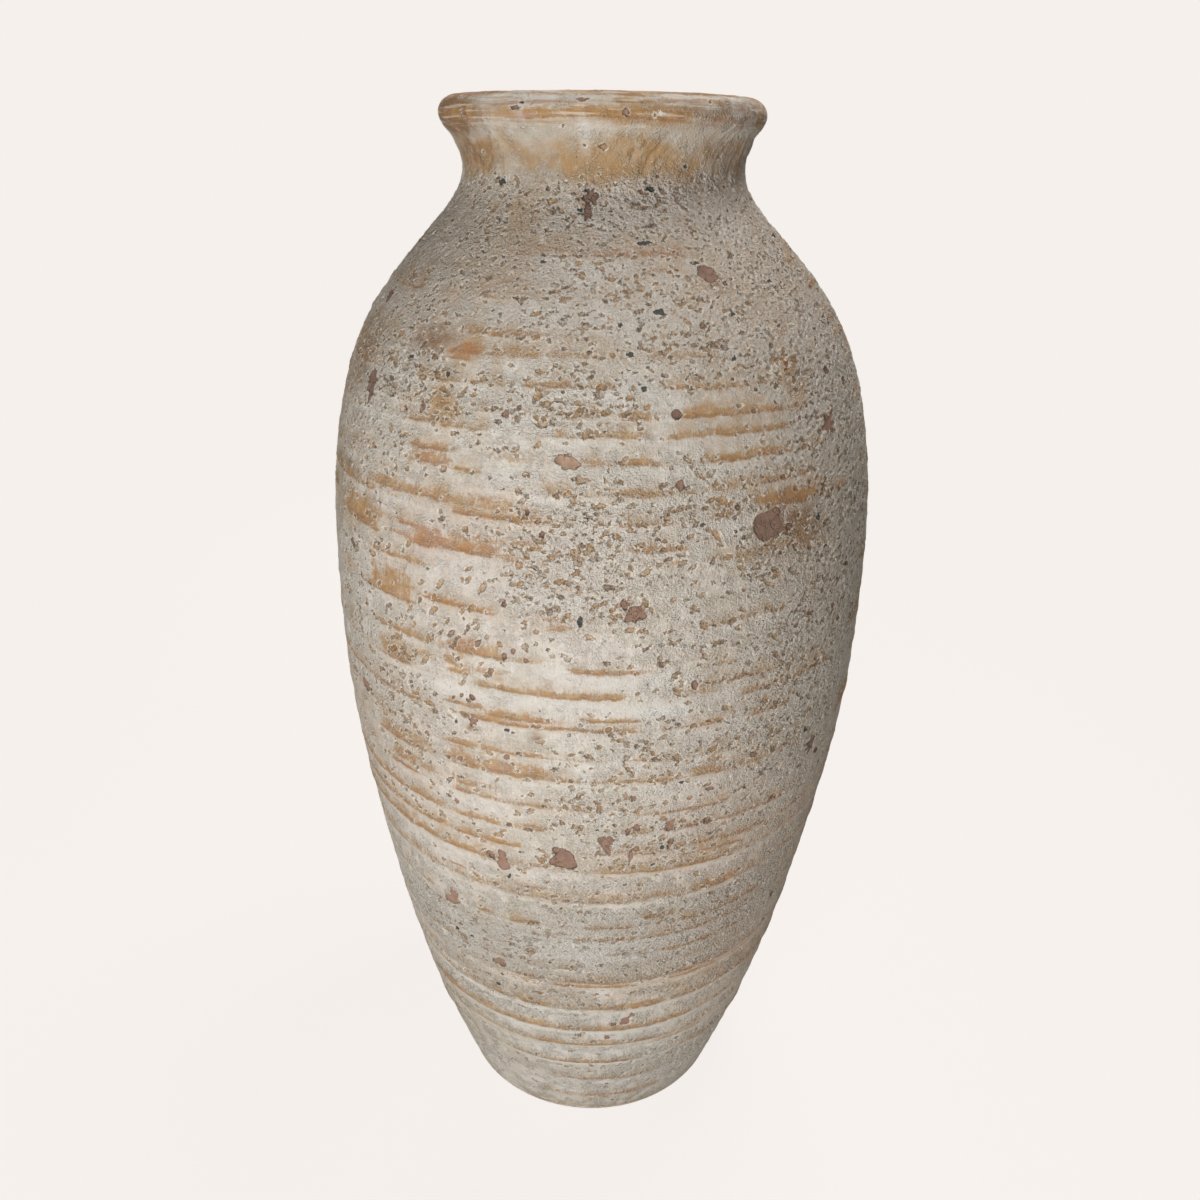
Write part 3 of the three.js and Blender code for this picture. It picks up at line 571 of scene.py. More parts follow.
class Skin:
    """The whole outside of the jar on one grid, from the foot's edge up and over to the inside of the rim.

    Row by row it holds a radius, a height and the direction that faces out; column by column an angle.
    Its coats are values over the grid that the finishes read, and its relief is how far the wash
    stands out or lies back, in millimetres.
    """

    SEEDS = (11, 29)
    FAR = 3.0
    FRONT_TO = 70.0
    BACK_FROM = 86.0
    SLAB_CROWDING = 1.35

    def __init__(self, outline: JarOutline) -> None:
        """Lays out the grid.

        Args:
            outline: the jar's outline.
        """
        self.outline = outline
        self.spans: dict[str, tuple[int, int]] = {}
        self.angle = np.linspace(-math.pi, math.pi, COLUMNS, endpoint=False)
        self.degrees = np.degrees(self.angle)
        self.radius, self.height = self._rows()
        step_r, step_z = np.gradient(self.radius), np.gradient(self.height)
        length = np.hypot(step_r, step_z)
        self.out_r, self.out_z = step_z / length, -step_r / length
        moves = np.hypot(np.diff(self.radius), np.diff(self.height))
        self.arc = np.concatenate([[0.0], np.cumsum(moves)])
        self.top_row = int(np.argmax(self.height))
        self.shape = (len(self.radius), COLUMNS)
        self.points = self.turned(self.angle)
        self.noise, self.other_noise = map(LatticeNoise, self.SEEDS)
        self.relief = np.zeros(self.shape, np.float32)
        self.coats: dict[str, Array] = {}

    def _rows(self) -> tuple[Array, Array]:
        """Works out every row, and keeps the rows where each course begins and ends.

        The foot's edge is rubbed round: its radius falls short by the bevel times one less the root
        of one less the square of the share of the bevel's height that is left.

        Returns:
            Radius and height of each row.
        """
        outer = self.outline.outer()
        heights: list[Array] = []
        count = 0
        low = 0.0
        for course in (SLAB, *COURSES):
            high = self.outline.seam(course.node)
            rows = np.linspace(low, high, course.outer_steps + 1)
            if course is SLAB:
                rows = high * np.linspace(0.0, 1.0, SLAB.outer_steps + 1) ** self.SLAB_CROWDING
            self.spans[course.node] = (count, count + course.outer_steps)
            heights.append(rows[:-1])
            count += course.outer_steps
            low = high
        height = np.concatenate(heights)
        bevel = self.outline.foot_bevel
        left = np.clip(1.0 - height / bevel, 0.0, 1.0)
        radius = outer(height) - bevel * (1.0 - np.sqrt(1.0 - left**2))
        roll_radius, roll_height = self.outline.roll(ROLL_STEPS)
        self.spans["rim_roll"] = (count, count + ROLL_STEPS)
        return np.concatenate([radius, roll_radius]), np.concatenate([height, roll_height])

    def turned(self, angle: Array) -> Array:
        """Points at every height, at some angles round the jar: the radius times the sine of the angle, less
        the radius times its cosine, and the height.

        Args:
            angle: angles in radians, one for each column or each grid point.

        Returns:
            The points, with the axis first.
        """
        radius = self.radius[:, None]
        height = np.broadcast_to(self.height[:, None], self.shape)
        return np.stack([radius * np.sin(angle), -radius * np.cos(angle), height]).astype(np.float32)

    def row_of(self, height: float) -> float:
        """Row, as a fraction, at which the outside reaches a height."""
        return float(np.interp(height, self.height[: self.top_row + 1], np.arange(self.top_row + 1)))

    def turn_from(self, angle: float) -> Array:
        """Degrees from an angle to each column, from -180 to 180."""
        return (self.degrees - angle + 180.0) % 360.0 - 180.0

    def zones(self, zones: Sequence[Zone]) -> Array:
        """Sum of soft-edged places: each is its amount times a bell over the girth and the height.

        Args:
            zones: the places.

        Returns:
            The sum over the grid.
        """
        total = np.zeros(self.shape, np.float32)
        for zone in zones:
            along = np.radians(self.turn_from(zone.angle)) * self.radius[:, None] / zone.along
            up = (self.height[:, None] - zone.height) / zone.up
            total += zone.amount * np.exp(-0.5 * (along**2 + up**2) ** 1.5)
        return total

    def front(self) -> Array:
        """How far a column belongs to the side that faces the camera: 1 there, 0 round the back."""
        return ease(self.BACK_FROM, self.FRONT_TO, np.abs(self.degrees))


class RingBands:
    """Throwing rings and the ochre on them, over the whole girth.

    A ring's ridge stands out most at its crisp lower edge, drops away within a few millimetres below
    it, and slopes back slowly above it. Where no ring stands out, the wash is settled a little.
    """

    FALL = 3.2
    SLOPE = 12.0
    HEIGHT = 1.2
    SETTLE = 0.62
    BACK_START = 62.0
    BACK_END = 284.0

    def __init__(self, bands: Sequence[Band], seed: int) -> None:
        """Keeps the bands of the front; the seed fixes their runs round the back."""
        self.bands = bands
        self.random = np.random.default_rng(seed)

    def back_runs(self, band: Band) -> list[Triple]:
        """Runs of ochre round the back: lengths and gaps drawn at random, short and scarce where the band
        is tall or has one run.

        Args:
            band: the band.

        Returns:
            The runs.
        """
        runs = []
        angle = self.BACK_START + self.random.uniform(0, 14)
        plenty = band.rise < 7.0 and len(band.runs) > 1
        while angle < self.BACK_END:
            length = self.random.uniform(3, 17) if plenty else self.random.uniform(2, 9)
            end = min(angle + length, self.BACK_END + 8.0)
            runs.append((angle, end, self.random.uniform(0.35, 1)))
            angle += length + self.random.uniform(1, 14) * (1.0 if plenty else 4.0)
        return runs

    @staticmethod
    def profile(rise: Array, reach: Array | float) -> Array:
        """Cover of a band of ochre: full at its lower edge, then fading, and gone past its reach."""
        fade = 1.0 - 0.35 * np.clip(rise / reach, 0.0, 1.0)
        return ease(-0.8, 0.6, rise) * ease(reach * 1.3, reach * 0.5, rise) * fade

    def lay(self, skin: Skin) -> None:
        """Puts the rings into the relief, and into the coats the ochre on their crests, the line along its
        crisp lower edge that gets a painted shadow, and the smooth lip of wash under each crest.

        Each run of ochre is a product of two smooth steps along the girth, whose ends are shifted by
        noise. A faint run all round joins the strong ones, most of all on the lower jar.

        Args:
            skin: the jar's outside.
        """
        ochre, rings, lip, edge, veil = (np.zeros(skin.shape, np.float32) for _ in range(5))
        drift = 1.6 * skin.noise.at(skin.points, (120, 120, 36))
        drift += 0.7 * skin.other_noise.at(skin.points, (18, 18, 14))
        drift += 0.75 * skin.noise.at(skin.points, (4.2, 4.2, 3.2))
        fray = 1.4 * skin.other_noise.at(skin.points, (5, 5, 2.2))
        fray += 1.8 * skin.noise.at(skin.points, (15, 15, 3.5))
        uneven = 1.0 + 0.36 * skin.noise.layered(skin.points + 250, 12, 3)
        broken = 0.5 + 0.5 * skin.other_noise.at(skin.points, (16, 16, 5))
        tatter = 1.0 + 0.24 * skin.other_noise.at(skin.points + 60, (2.4, 2.4, 4))
        patchy = 0.5 + 0.5 * skin.noise.at(skin.points + 500, (34, 34, 9))
        outside = np.arange(skin.shape[0]) <= skin.top_row
        for band in self.bands:
            from_middle = np.abs(skin.height - band.height - band.rise / 2.0)
            rows = np.flatnonzero(outside & (from_middle < band.rise + 20.0))
            part = slice(rows[0], rows[-1] + 1)
            rise = skin.height[part, None] - band.height - drift[part]
            low, high = ease(330, 230, band.height), ease(610, 540, band.height)
            faint = band.ridge * (0.3 * low + 0.22 * high) * ease(36, 60, band.height)
            runs = faint * (0.25 + 1.3 * patchy[part])
            for start, end, strength in (*band.runs, *self.back_runs(band)):
                turn = skin.turn_from(start) + fray[part]
                span = (end - start) % 360.0
                ends = ease(-1.6, 1.2, turn) * ease(span + 2.2, span - 1.4, turn)
                runs = np.maximum(runs, min(1.15 * strength, 1.0) * ends)
            cover = runs * self.profile(rise, band.rise * (0.8 + 0.4 * patchy[part]) * tatter[part])
            all_round = 0.3 * low * band.ridge * self.profile(rise, 9.0) * (0.2 + 1.2 * patchy[part])
            cover = np.maximum(cover, all_round)
            ochre[part] = np.maximum(ochre[part], cover * (0.78 + 0.36 * broken[part]) * uneven[part])
            around = ease(-5, 2, rise) * ease(band.rise + 11, 2, rise)
            veil[part] = np.maximum(veil[part], runs * around * (0.5 + patchy[part]))
            # The edge coat: where the ochre gets a painted shadow along each band's crisp lower edge.
            line = ease(-0.8, 0.2, rise) * ease(2.4, 0.7, rise)
            edge[part] = np.maximum(edge[part], line * runs)
            crest = ease(-self.FALL, 0, rise) * ease(self.SLOPE, 0, rise)
            shown = band.ridge * (0.5 + 0.5 * np.minimum(runs * 1.6, 1.0)) * (0.55 + 0.35 * low)
            shown = shown * (0.45 + 0.85 * patchy[part])
            rings[part] = np.maximum(rings[part], crest * shown * (0.7 + 0.5 * patchy[part]))
            under = ease(0.2, -1, rise) * ease(-8.5, -4, rise)
            lip[part] = np.maximum(lip[part], under * shown)
        skin.coats.update({"ochre": ochre, "lip": lip, "edge": edge, "veil": veil})
        skin.relief += self.HEIGHT * rings - self.SETTLE


class Wash:
    """The lime wash: its lumps, its crust, the wrinkles under the rim and its stains."""

    def lay(self, skin: Skin) -> None:
        """Adds the wash's relief and the coats that its colours follow.

        Args:
            skin: the jar's outside.
        """
        points, front = skin.points, skin.front()
        lumps = skin.noise.layered(points, 46, 3)
        crust = skin.other_noise.layered(points, 7, 3)
        streaks = skin.noise.at(points, (30, 30, 1.9))
        back = 0.5 + 0.5 * skin.other_noise.layered(points + 300, 90, 3)
        height = skin.height[:, None]
        upper = ease(470, 620, height)
        foot = ease(150, 90, height)
        rough = 0.22 + skin.zones(PIT_ZONES) * front + (1.0 - front) * (1.1 * back - 0.25 + 0.3 * upper)
        rough = np.clip(rough + 0.32 * ease(545, 600, height) + 0.12 * lumps, 0.0, 1.1)
        rough *= 1.0 - 0.85 * ease(652, 666, height)
        rough *= 1.0 - 0.75 * np.minimum(skin.coats["lip"] * 1.2, 1.0)
        skin.coats["rough"] = rough.astype(np.float32)
        # On the lower jar the pores take the wash darkened as painted shade, the crust's painted highlight
        # and painted shade grow, and so does its relief.
        skin.coats["shaded_pits"] = (ease(300, 225, height) * (0.75 + 0.5 * lumps)).astype(np.float32)
        skin.coats["brown"] = self.stain(skin, BROWN_ZONES, 5, 0.12)
        skin.coats["moss"] = self.stain(skin, MOSS_ZONES, 6, 0.35) + 0.35 * foot * (1.0 - front)
        skin.coats["rose"] = self.stain(skin, ROSE_ZONES, 7, 0.35)
        runny = 0.8 + 0.35 * skin.noise.at(points, (8, 8, 13))
        skin.coats["tan"] = self.stain(skin, OCHRE_ZONES, 9, 0.24) * runny + 0.34 * skin.coats.pop("veil")
        skin.coats["lime"] = self.stain(skin, LIME_ZONES, 10, 0.4) * (0.6 + runny) / 1.35
        skin.coats["rim"] = ease(680, 685, height) * np.ones(skin.shape, np.float32)
        curls = ease(0.34, 0.02, np.abs(skin.noise.at(points + 700, (4.8, 4.8, 3.8)))) - 0.4
        skin.relief += 0.42 * lumps + (0.16 + 0.44 * np.minimum(rough, 1.0)) * crust + 0.1 * streaks
        skin.relief += (0.04 + 0.42 * np.minimum(rough, 1.0)) * curls
        skin.relief += self.wrinkles(skin) + self.fillet(skin)

    @staticmethod
    def stain(skin: Skin, zones: Sequence[Zone], seed: int, back_share: float) -> Array:
        """Strength of one stain: its places in front, and broad clouds of noise round the back.

        Args:
            skin: the jar's outside.
            zones: places of the stain in front.
            seed: number that fixes the clouds.
            back_share: how much of the back the clouds may take.

        Returns:
            The stain, from 0 to about 1.
        """
        clouds = LatticeNoise(seed).layered(skin.points, 80, 4)
        back = ease(0.75 - back_share, 1.1 - back_share, clouds + 0.5) * 0.6
        ragged = 0.8 + 0.5 * LatticeNoise(seed + 40).layered(skin.points, 9, 3)
        return (skin.zones(zones) * skin.front() + back * (1.0 - skin.front())).clip(0.0, 1.2) * ragged

    @staticmethod
    def fillet(skin: Skin) -> Array:
        """Wash lying in the corner under the rolled rim: a bell over the distance from the rim's seam.

        Args:
            skin: the jar's outside.

        Returns:
            The relief in millimetres.
        """
        seam = skin.arc[skin.spans["rim_roll"][0]]
        depth = 0.95 + 0.25 * skin.noise.at(skin.points, (16, 16, 16))
        return depth * np.exp(-(((skin.arc[:, None] - seam) / 2.6) ** 2))

    @staticmethod
    def wrinkles(skin: Skin) -> Array:
        """Wrinkles under the rim, where the wash ran down the collar: noise that is narrow along the
        girth and long down the jar, between 655 and 678 mm, with a few deeper gathers. To the right of
        the camera they slant, since each height reads the noise from a little further left.

        Args:
            skin: the jar's outside.

        Returns:
            The relief in millimetres.
        """
        height, radius = skin.height[:, None], skin.radius[:, None]
        turn = skin.angle - 0.5 * (height - 666.0) / radius * ease(-4, 26, skin.degrees)
        slanted = skin.turned(turn)
        narrow = skin.noise.at(slanted, (3.6, 3.6, 9)) + 0.7 * skin.other_noise.at(slanted, (2.2, 2.2, 4.5))
        band = ease(652, 662, height) * ease(682, 670, height)
        gathers = ease(0.05, 0.5, skin.other_noise.at(skin.points, (22, 22, 60)))
        gathers = np.maximum(gathers, skin.zones(GATHERS))
        folds = skin.zones(FOLDS)
        folds = folds * ease(0.34, 0.04, np.abs(skin.other_noise.at(slanted + 40, (8, 8, 30))))
        return band * (0.2 + 1.05 * np.minimum(gathers, 1.0)) * narrow + 1.3 * folds


class Pits:
    """Pits in the wash, scattered by the roughness of the place, with their own size, shape and tone."""

    PER_MM2 = 0.062
    REACH_ROWS = 5
    REACH_COLUMNS = 6
    DEPTH = 0.66
    LIP = 0.2

    def __init__(self, seed: int) -> None:
        """Prepares the draw, which the seed fixes."""
        self.random = np.random.default_rng(seed)

    def scatter(self, skin: Skin) -> dict[str, Array]:
        """Places, sizes and shapes of the pits.

        Candidates are even over the surface, and one stays where a random number is under the
        roughness there. Radii follow a lognormal law, larger and sparser on the lower jar.

        Args:
            skin: the jar's outside.

        Returns:
            Row and column as fractions, radius, stretch along the girth, lean and tone of each pit.
        """
        random = self.random
        girth = 2.0 * math.pi * skin.radius[: skin.top_row]
        share = np.cumsum(girth * np.diff(skin.arc[: skin.top_row + 1]))
        count = int(share[-1] * self.PER_MM2)
        row = np.interp(random.uniform(0, share[-1], count), share, np.arange(skin.top_row))
        column = random.uniform(0, COLUMNS, count)
        place = (row.astype(int), column.astype(int))
        rough = skin.coats["rough"][place]
        sparse = 1.0 - 0.5 * ease(300, 240, skin.height[place[0]])
        sparse *= 1.0 - 0.85 * ease(653, 662, skin.height[place[0]])
        keep = random.uniform(0, 1, count) < (0.07 + 0.93 * np.minimum(rough, 1.0) ** 1.3) * sparse
        row, column = row[keep], column[keep]
        place = (row.astype(int), column.astype(int))
        height, degrees = skin.height[place[0]], skin.degrees[place[1]]
        count = len(row)
        radius = np.exp(random.normal(0, 0.3, count)) * (0.86 - 0.18 * ease(550, 620, height))
        radius *= 1.0 + 0.45 * (random.uniform(0, 1, count) < 0.06)
        gouged = ease(16, 8, np.abs(degrees + 32.0))
        gouged = gouged * ease(60, 30, np.abs(height - 432.0))
        gouge = gouged * (random.uniform(0, 1, count) < 0.75)
        radius *= 1.0 + 0.15 * gouge
        clouds = skin.noise.at(skin.points[:, place[0], place[1]] + 90, 70)
        behind = ease(70, 90, np.abs(degrees))
        # Dark pits, and pits whose floor is the wash darkened as painted shade, grow commoner toward the
        # camera's right, the side away from the lamps: partly painted shade there, partly real dark specks.
        dark = 0.2 + 0.55 * ease(20, 40, degrees) * ease(120, 90, degrees)
        dark = np.clip(dark + 0.34 * ease(540, 640, height) + 0.4 * clouds * behind, 0.0, 0.9)
        own = 0.12 + 0.6 * ease(290, 235, height) + 0.55 * ease(22, 42, degrees)
        draw, tint = random.uniform(0, 1, count), random.uniform(0, 1, count)
        return {
            "row": row,
            "column": column,
            "radius": np.clip(radius, 0.5, 1.8),
            "stretch": random.uniform(1, 2.1, count) + 0.9 * gouge,
            "lean": random.normal(0, 0.5, count) * (1.0 - 0.6 * gouge) + 1.0 * gouge,
            "tone": np.where(draw < own, 0.0, np.where(tint < dark, 1.0, 0.5)),
        }

    def lay(self, skin: Skin) -> None:
        """Stamps the pits: each grid point near a pit gets its distance in millimetres to the pit's edge,
        negative inside, where the nearest edge wins, and the tone of that pit.

        Args:
            skin: the jar's outside.
        """
        pits = self.scatter(skin)
        rows, columns = pits["row"].astype(int), pits["column"].astype(int)
        girth = skin.radius[rows] * 2.0 * math.pi / COLUMNS
        arc = np.interp(pits["row"], np.arange(len(skin.arc)), skin.arc)
        cosine, sine = np.cos(pits["lean"]), np.sin(pits["lean"])
        distance = np.full(skin.shape, Skin.FAR, np.float32).ravel()
        tone = np.zeros(distance.shape, np.float32)
        window = list(product(*[range(-reach, reach + 1) for reach in (self.REACH_ROWS, self.REACH_COLUMNS)]))
        log.info("%d pits, each stamped on %d grid points", len(rows), len(window))

        def stamped(step: tuple[int, int]) -> tuple[Array, Array]:
            """Grid points one step away from each pit.

            Args:
                step: rows and columns away.

            Returns:
                Place of each point in the flat grid, and its distance to the pit's edge.
            """
            at_row = np.clip(rows + step[0], 0, skin.shape[0] - 1)
            along = (columns + step[1] - pits["column"]) * girth
            up = skin.arc[at_row] - arc
            turned = (along * cosine + up * sine) / pits["stretch"]
            across = up * cosine - along * sine
            place = at_row * COLUMNS + (columns + step[1]) % COLUMNS
            return place, (np.hypot(turned, across) - pits["radius"]).astype(np.float32)

        for step in window:
            place, gap = stamped(step)
            np.minimum.at(distance, place, gap)
        for step in window:
            place, gap = stamped(step)
            nearest = gap <= distance[place] + 1e-6
            tone[place[nearest]] = pits["tone"][nearest]
        distance = distance.reshape(skin.shape)
        skin.coats["pit"] = distance
        skin.coats["pit_tone"] = tone.reshape(skin.shape)
        skin.relief -= self.DEPTH * ease(0.45, -0.95, distance)
        skin.relief += self.LIP * np.exp(-(((distance - 0.7) / 0.5) ** 2))


class Flaws:
    """Chips, dark grains and lumps of lime: those of the photographed side, and a like scatter behind."""

    BACK_COUNT = 74
    KIND_SHARES = (0.52, 0.4, 0.08)
    CHIP_DEPTH = 1.1
    CHIP_LIP = 0.22
    GRAIN_DEPTH = 0.45
    PALE_RISE = 0.25

    def __init__(self, marks: Sequence[Mark], seed: int) -> None:
        """Keeps the marks of the front and draws those of the back; the seed fixes the draw."""
        self.random = np.random.default_rng(seed)
        self.marks = [*marks, *self.behind()]

    def behind(self) -> list[Mark]:
        """Marks round the back: mostly small ones, a few as large as the largest in front.

        Returns:
            The marks.
        """
        found = []
        kinds = list(MarkKind)
        draw = self.random
        for _ in range(self.BACK_COUNT):
            kind = kinds[draw.choice(3, p=self.KIND_SHARES)]
            wide = float(np.clip(np.exp(draw.normal(1.35, 0.5)), 2.2, 19.0))
            if kind is not MarkKind.CHIP:
                wide = min(wide, 5.0)
            angle, height = draw.uniform(70, 290), draw.uniform(95, 690)
            tall, lean = wide * draw.uniform(0.7, 1.5), draw.uniform(-35, 35)
            jag, tone = draw.uniform(0.1, 0.28), draw.uniform(0, 1)
            found.append(Mark(kind, angle, height, wide, tall, lean, jag, tone))
        return found

    def distance(self, mark: Mark, turn: Array, up: Array) -> Array:
        """Distance in millimetres to a mark's edge, negative inside.

        The edge is an ellipse whose size is changed round it by a sum of cosines with random phases.

        Args:
            mark: the mark.
            turn: distance along the girth from the mark's middle.
            up: distance up the jar from it.

        Returns:
            The distances.
        """
        lean = math.radians(mark.lean)
        along = (turn * math.cos(lean) + up * math.sin(lean)) / (mark.wide / 2.0)
        across = (up * math.cos(lean) - turn * math.sin(lean)) / (mark.tall / 2.0)
        way = np.arctan2(across, along)
        edge = np.ones_like(way)
        for wave in range(2, 8):
            size, phase = self.random.normal(0, 1), self.random.uniform(0, 6.3)
            edge += mark.jag * size * np.cos(wave * way + phase) / math.sqrt(wave)
        return (np.hypot(along, across) - np.clip(edge, 0.45, 1.6)) * min(mark.wide, mark.tall) / 2.0

    def lay(self, skin: Skin) -> None:
        """Presses each mark into the relief and keeps the distances to the nearest edges as coats.

        Args:
            skin: the jar's outside.
        """
        far = Skin.FAR
        coats = {kind: np.full(skin.shape, far, np.float32) for kind in MarkKind}
        tone = np.full(skin.shape, 0.5, np.float32)
        for mark in self.marks:
            row = skin.row_of(mark.height)
            reach = max(mark.wide, mark.tall) * 0.9 + far
            arc = np.interp(row, np.arange(len(skin.arc)), skin.arc)
            rows = np.flatnonzero(np.abs(skin.arc - arc) < reach)
            turn = np.radians(skin.turn_from(mark.angle)) * skin.radius[int(row)]
            columns = np.flatnonzero(np.abs(turn) < reach)
            part = np.ix_(rows, columns)
            gap = self.distance(mark, *np.broadcast_arrays(turn[columns], (skin.arc[rows] - arc)[:, None]))
            if mark.kind is MarkKind.CHIP:
                tone[part] = np.where(gap < np.minimum(coats[mark.kind][part], 2.0), mark.tone, tone[part])
            coats[mark.kind][part] = np.minimum(coats[mark.kind][part], gap)
        chip, grain, pale = (coats[kind] for kind in MarkKind)
        skin.coats.update({"chip": chip, "grain": grain, "pale": pale, "chip_tone": tone})
        bare = ease(0.35, -0.55, chip)
        skin.relief = skin.relief * (1.0 - 0.9 * bare) - self.CHIP_DEPTH * bare
        skin.relief += self.CHIP_LIP * np.exp(-(((chip - 0.8) / 0.6) ** 2))
        raised, sunk = ease(0.4, -1.2, pale), ease(0.3, -0.8, grain)
        skin.relief += self.PALE_RISE * raised - self.GRAIN_DEPTH * sunk


@dataclass(frozen=True)
class Lean:
    """The jar's handmade lean: how far its middle wanders sideways at some heights, in millimetres."""

    heights: tuple[float, ...] = (0.0, 110.0, 300.0, 460.0, 610.0, 700.0)
    aside: tuple[float, ...] = (-2.6, -2.1, -0.5, 0.0, -0.6, -2.6)

    def at(self, height: Array) -> Array:
        """Sideways shift at some heights, smoothed by a cubic through the marks."""
        return batten_through(self.heights, self.aside)(np.clip(height, 0.0, self.heights[-1]))


@dataclass(frozen=True)
class Ring:
    """One row of a piece: its points, the values of its coats, whether it lies on the outside, and the
    direction that each point faces, or zeros where the mesh works it out."""

    points: Array
    coats: dict[str, Array]
    skin: bool
    facing: Array


class Courses:
    """Builds the closed mesh of each course, of the slab under them and of the rolled rim."""

    LEAST_COATS = dict.fromkeys(("pit", "chip", "grain", "pale"), Skin.FAR)
    SEED = 53
    LUMPS = 0.7
    FINGERS = 0.5
    FINGER_RISE = 17.5
    CLEAR = 0.05
    UNDER_RINGS = (0.0, 0.25, 0.5, 0.7, 0.85, 0.95)

    def __init__(self, outline: JarOutline, skin: Skin, lean: Lean) -> None:
        """Takes what the meshes are made from.

        Args:
            outline: the jar's outline.
            skin: the finished outside.
            lean: the jar's lean.
        """
        self.outline = outline
        self.skin = skin
        self.lean = lean
        self.inner = outline.inner()
        self.noise = LatticeNoise(self.SEED)
        self.sine, self.cosine = np.sin(skin.angle), np.cos(skin.angle)
        self.surface = self._surface()
        self.facing = self._facing()

    def ring(self, radius: Array | float, height: Array | float) -> Ring:
        """A row of bare clay round the jar.

        Args:
            radius: radius, one or per column.
            height: height, one or per column.

        Returns:
            The row.
        """
        radius, height = (np.broadcast_to(np.asarray(v, float), (COLUMNS,)) for v in (radius, height))
        aside = self.lean.at(height)
        points = np.stack([radius * self.sine + aside, -radius * self.cosine, height], axis=1)
        coats = {name: np.full(COLUMNS, self.LEAST_COATS.get(name, 0.0)) for name in self.skin.coats}
        return Ring(points, coats, False, np.zeros((COLUMNS, 3)))

    def _surface(self) -> Array:
        """Moves the outside out by its relief, which fades towards the flat underside, and keeps it inside
        the jar's largest radius and height.

        Returns:
            Points of the outside, by row and column.
        """
        skin = self.skin
        widest = float(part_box("belly_course")[1].x) / MM
        rise = skin.relief * ease(-0.5, 4, skin.height)[:, None]
        radius = np.minimum(skin.radius[:, None] + skin.out_r[:, None] * rise, widest - self.CLEAR)
        height = np.clip(skin.height[:, None] + skin.out_z[:, None] * rise, 0.0, self.outline.top)
        height[0] = 0.0
        aside = self.lean.at(height)
        return np.stack([radius * self.sine + aside, -radius * self.cosine, height], axis=-1)

    def _facing(self) -> Array:
        """Direction that faces out at each point of the outside: the cross product of the steps to the
        neighbours round the jar and up it, so that two courses are shaded alike along their seam.

        Returns:
            The directions, each of length 1.
        """
        around = np.roll(self.surface, -1, axis=1) - np.roll(self.surface, 1, axis=1)
        facing = np.cross(around, np.gradient(self.surface, axis=0))
        return facing / np.linalg.norm(facing, axis=-1, keepdims=True)

    def outside(self, first: int, last: int) -> list[Ring]:
        """Rows of the outside.

        Args:
            first: number of the first row.
            last: number of the last one.

        Returns:
            The rows.
        """
        rows = []
        for i in range(first, last + 1):
            coats = {name: values[i] for name, values in self.skin.coats.items()}
            facing = self.facing[i] if i else np.zeros((COLUMNS, 3))
            rows.append(Ring(self.surface[i], coats, True, facing))
        return rows

    def inside(self, low: float, high: float, steps: int) -> list[Ring]:
        """Rows of the inner wall, from the top down, with soft finger rings and lumps.

        Args:
            low: height of the last row.
            high: height of the first row.
            steps: number of steps between them.

        Returns:
            The rows.
        """
        rows = []
        for height in np.linspace(high, low, steps + 1):
            radius = self.inner(np.array([height]))[0]
            points = np.stack([radius * self.sine, -radius * self.cosine, np.full(COLUMNS, height)])
            lumps = self.LUMPS * self.noise.layered(points.astype(np.float32), 38, 3)
            finger = self.FINGERS * math.cos(2.0 * math.pi * height / self.FINGER_RISE)
            rows.append(self.ring(radius + lumps + finger, height))
        return rows

    def joint(self, node: str, side: float) -> Ring:
        """Bottom of the joint's valley over a course, or tip of the ridge that fills it.

        Args:
            node: the course under the joint.
            side: 0 for the valley, or 1 for the ridge, a layer of slip higher.

        Returns:
            The row.
        """
        seam = self.outline.seam(node)
        row = self.skin.spans[node][1]
        middle = (self.skin.radius[row] + self.inner(np.array([seam]))[0]) / 2.0
        return self.ring(middle, seam - self.outline.joint_depth + side * self.outline.slip_layer)

    def closed_mesh(self, name: str, rings: Sequence[Ring], capped: bool) -> bpy.types.Object:
        """A mesh over rows of points round the jar, whose last row joins the first, or whose first and
        last rows each shrink to one point on the axis.

        Args:
            name: name of the piece.
            rings: rows, in the order in which they run round the section of the wall.
            capped: whether the first and the last row are points on the axis.

        Returns:
            The object.
        """
        body = rings[1:-1] if capped else rings
        count = len(body)
        points = np.concatenate([ring.points for ring in body])
        ends = [rings[0].points.mean(0), rings[-1].points.mean(0)] if capped else []
        grid = np.arange(count * COLUMNS).reshape(count, COLUMNS)
        low, high = grid, np.roll(grid, -1, axis=0)
        skins = np.array([ring.skin for ring in body])
        outer_row = skins & np.roll(skins, -1)
        smooth_row = outer_row | ~(skins | np.roll(skins, -1))
        if capped:
            low, high, outer_row = low[:-1], high[:-1], outer_row[:-1]
            smooth_row = outer_row
        quads = np.stack([low, np.roll(low, -1, 1), np.roll(high, -1, 1), high], axis=-1).reshape(-1, 4)
        smooth, outer_face = np.repeat(smooth_row, COLUMNS), np.repeat(outer_row, COLUMNS)
        corners = [quads.ravel()]
        sizes = [np.full(len(quads), 4)]
        if capped:
            first, last = grid[0], grid[-1]
            under, over = len(points), len(points) + 1
            fan_low = np.stack([np.full(COLUMNS, under), np.roll(first, -1), first], axis=1)
            fan_high = np.stack([last, np.roll(last, -1), np.full(COLUMNS, over)], axis=1)
            corners += [fan_low.ravel(), fan_high.ravel()]
            sizes.append(np.full(2 * COLUMNS, 3))
            flat = np.zeros(2 * COLUMNS, bool)
            smooth, outer_face = np.concatenate([smooth, flat]), np.concatenate([outer_face, flat])
        points = np.concatenate([points, *[end[None] for end in ends]]) * MM
        loops, sizes = np.concatenate(corners), np.concatenate(sizes)
        mesh = bpy.data.meshes.new(name)
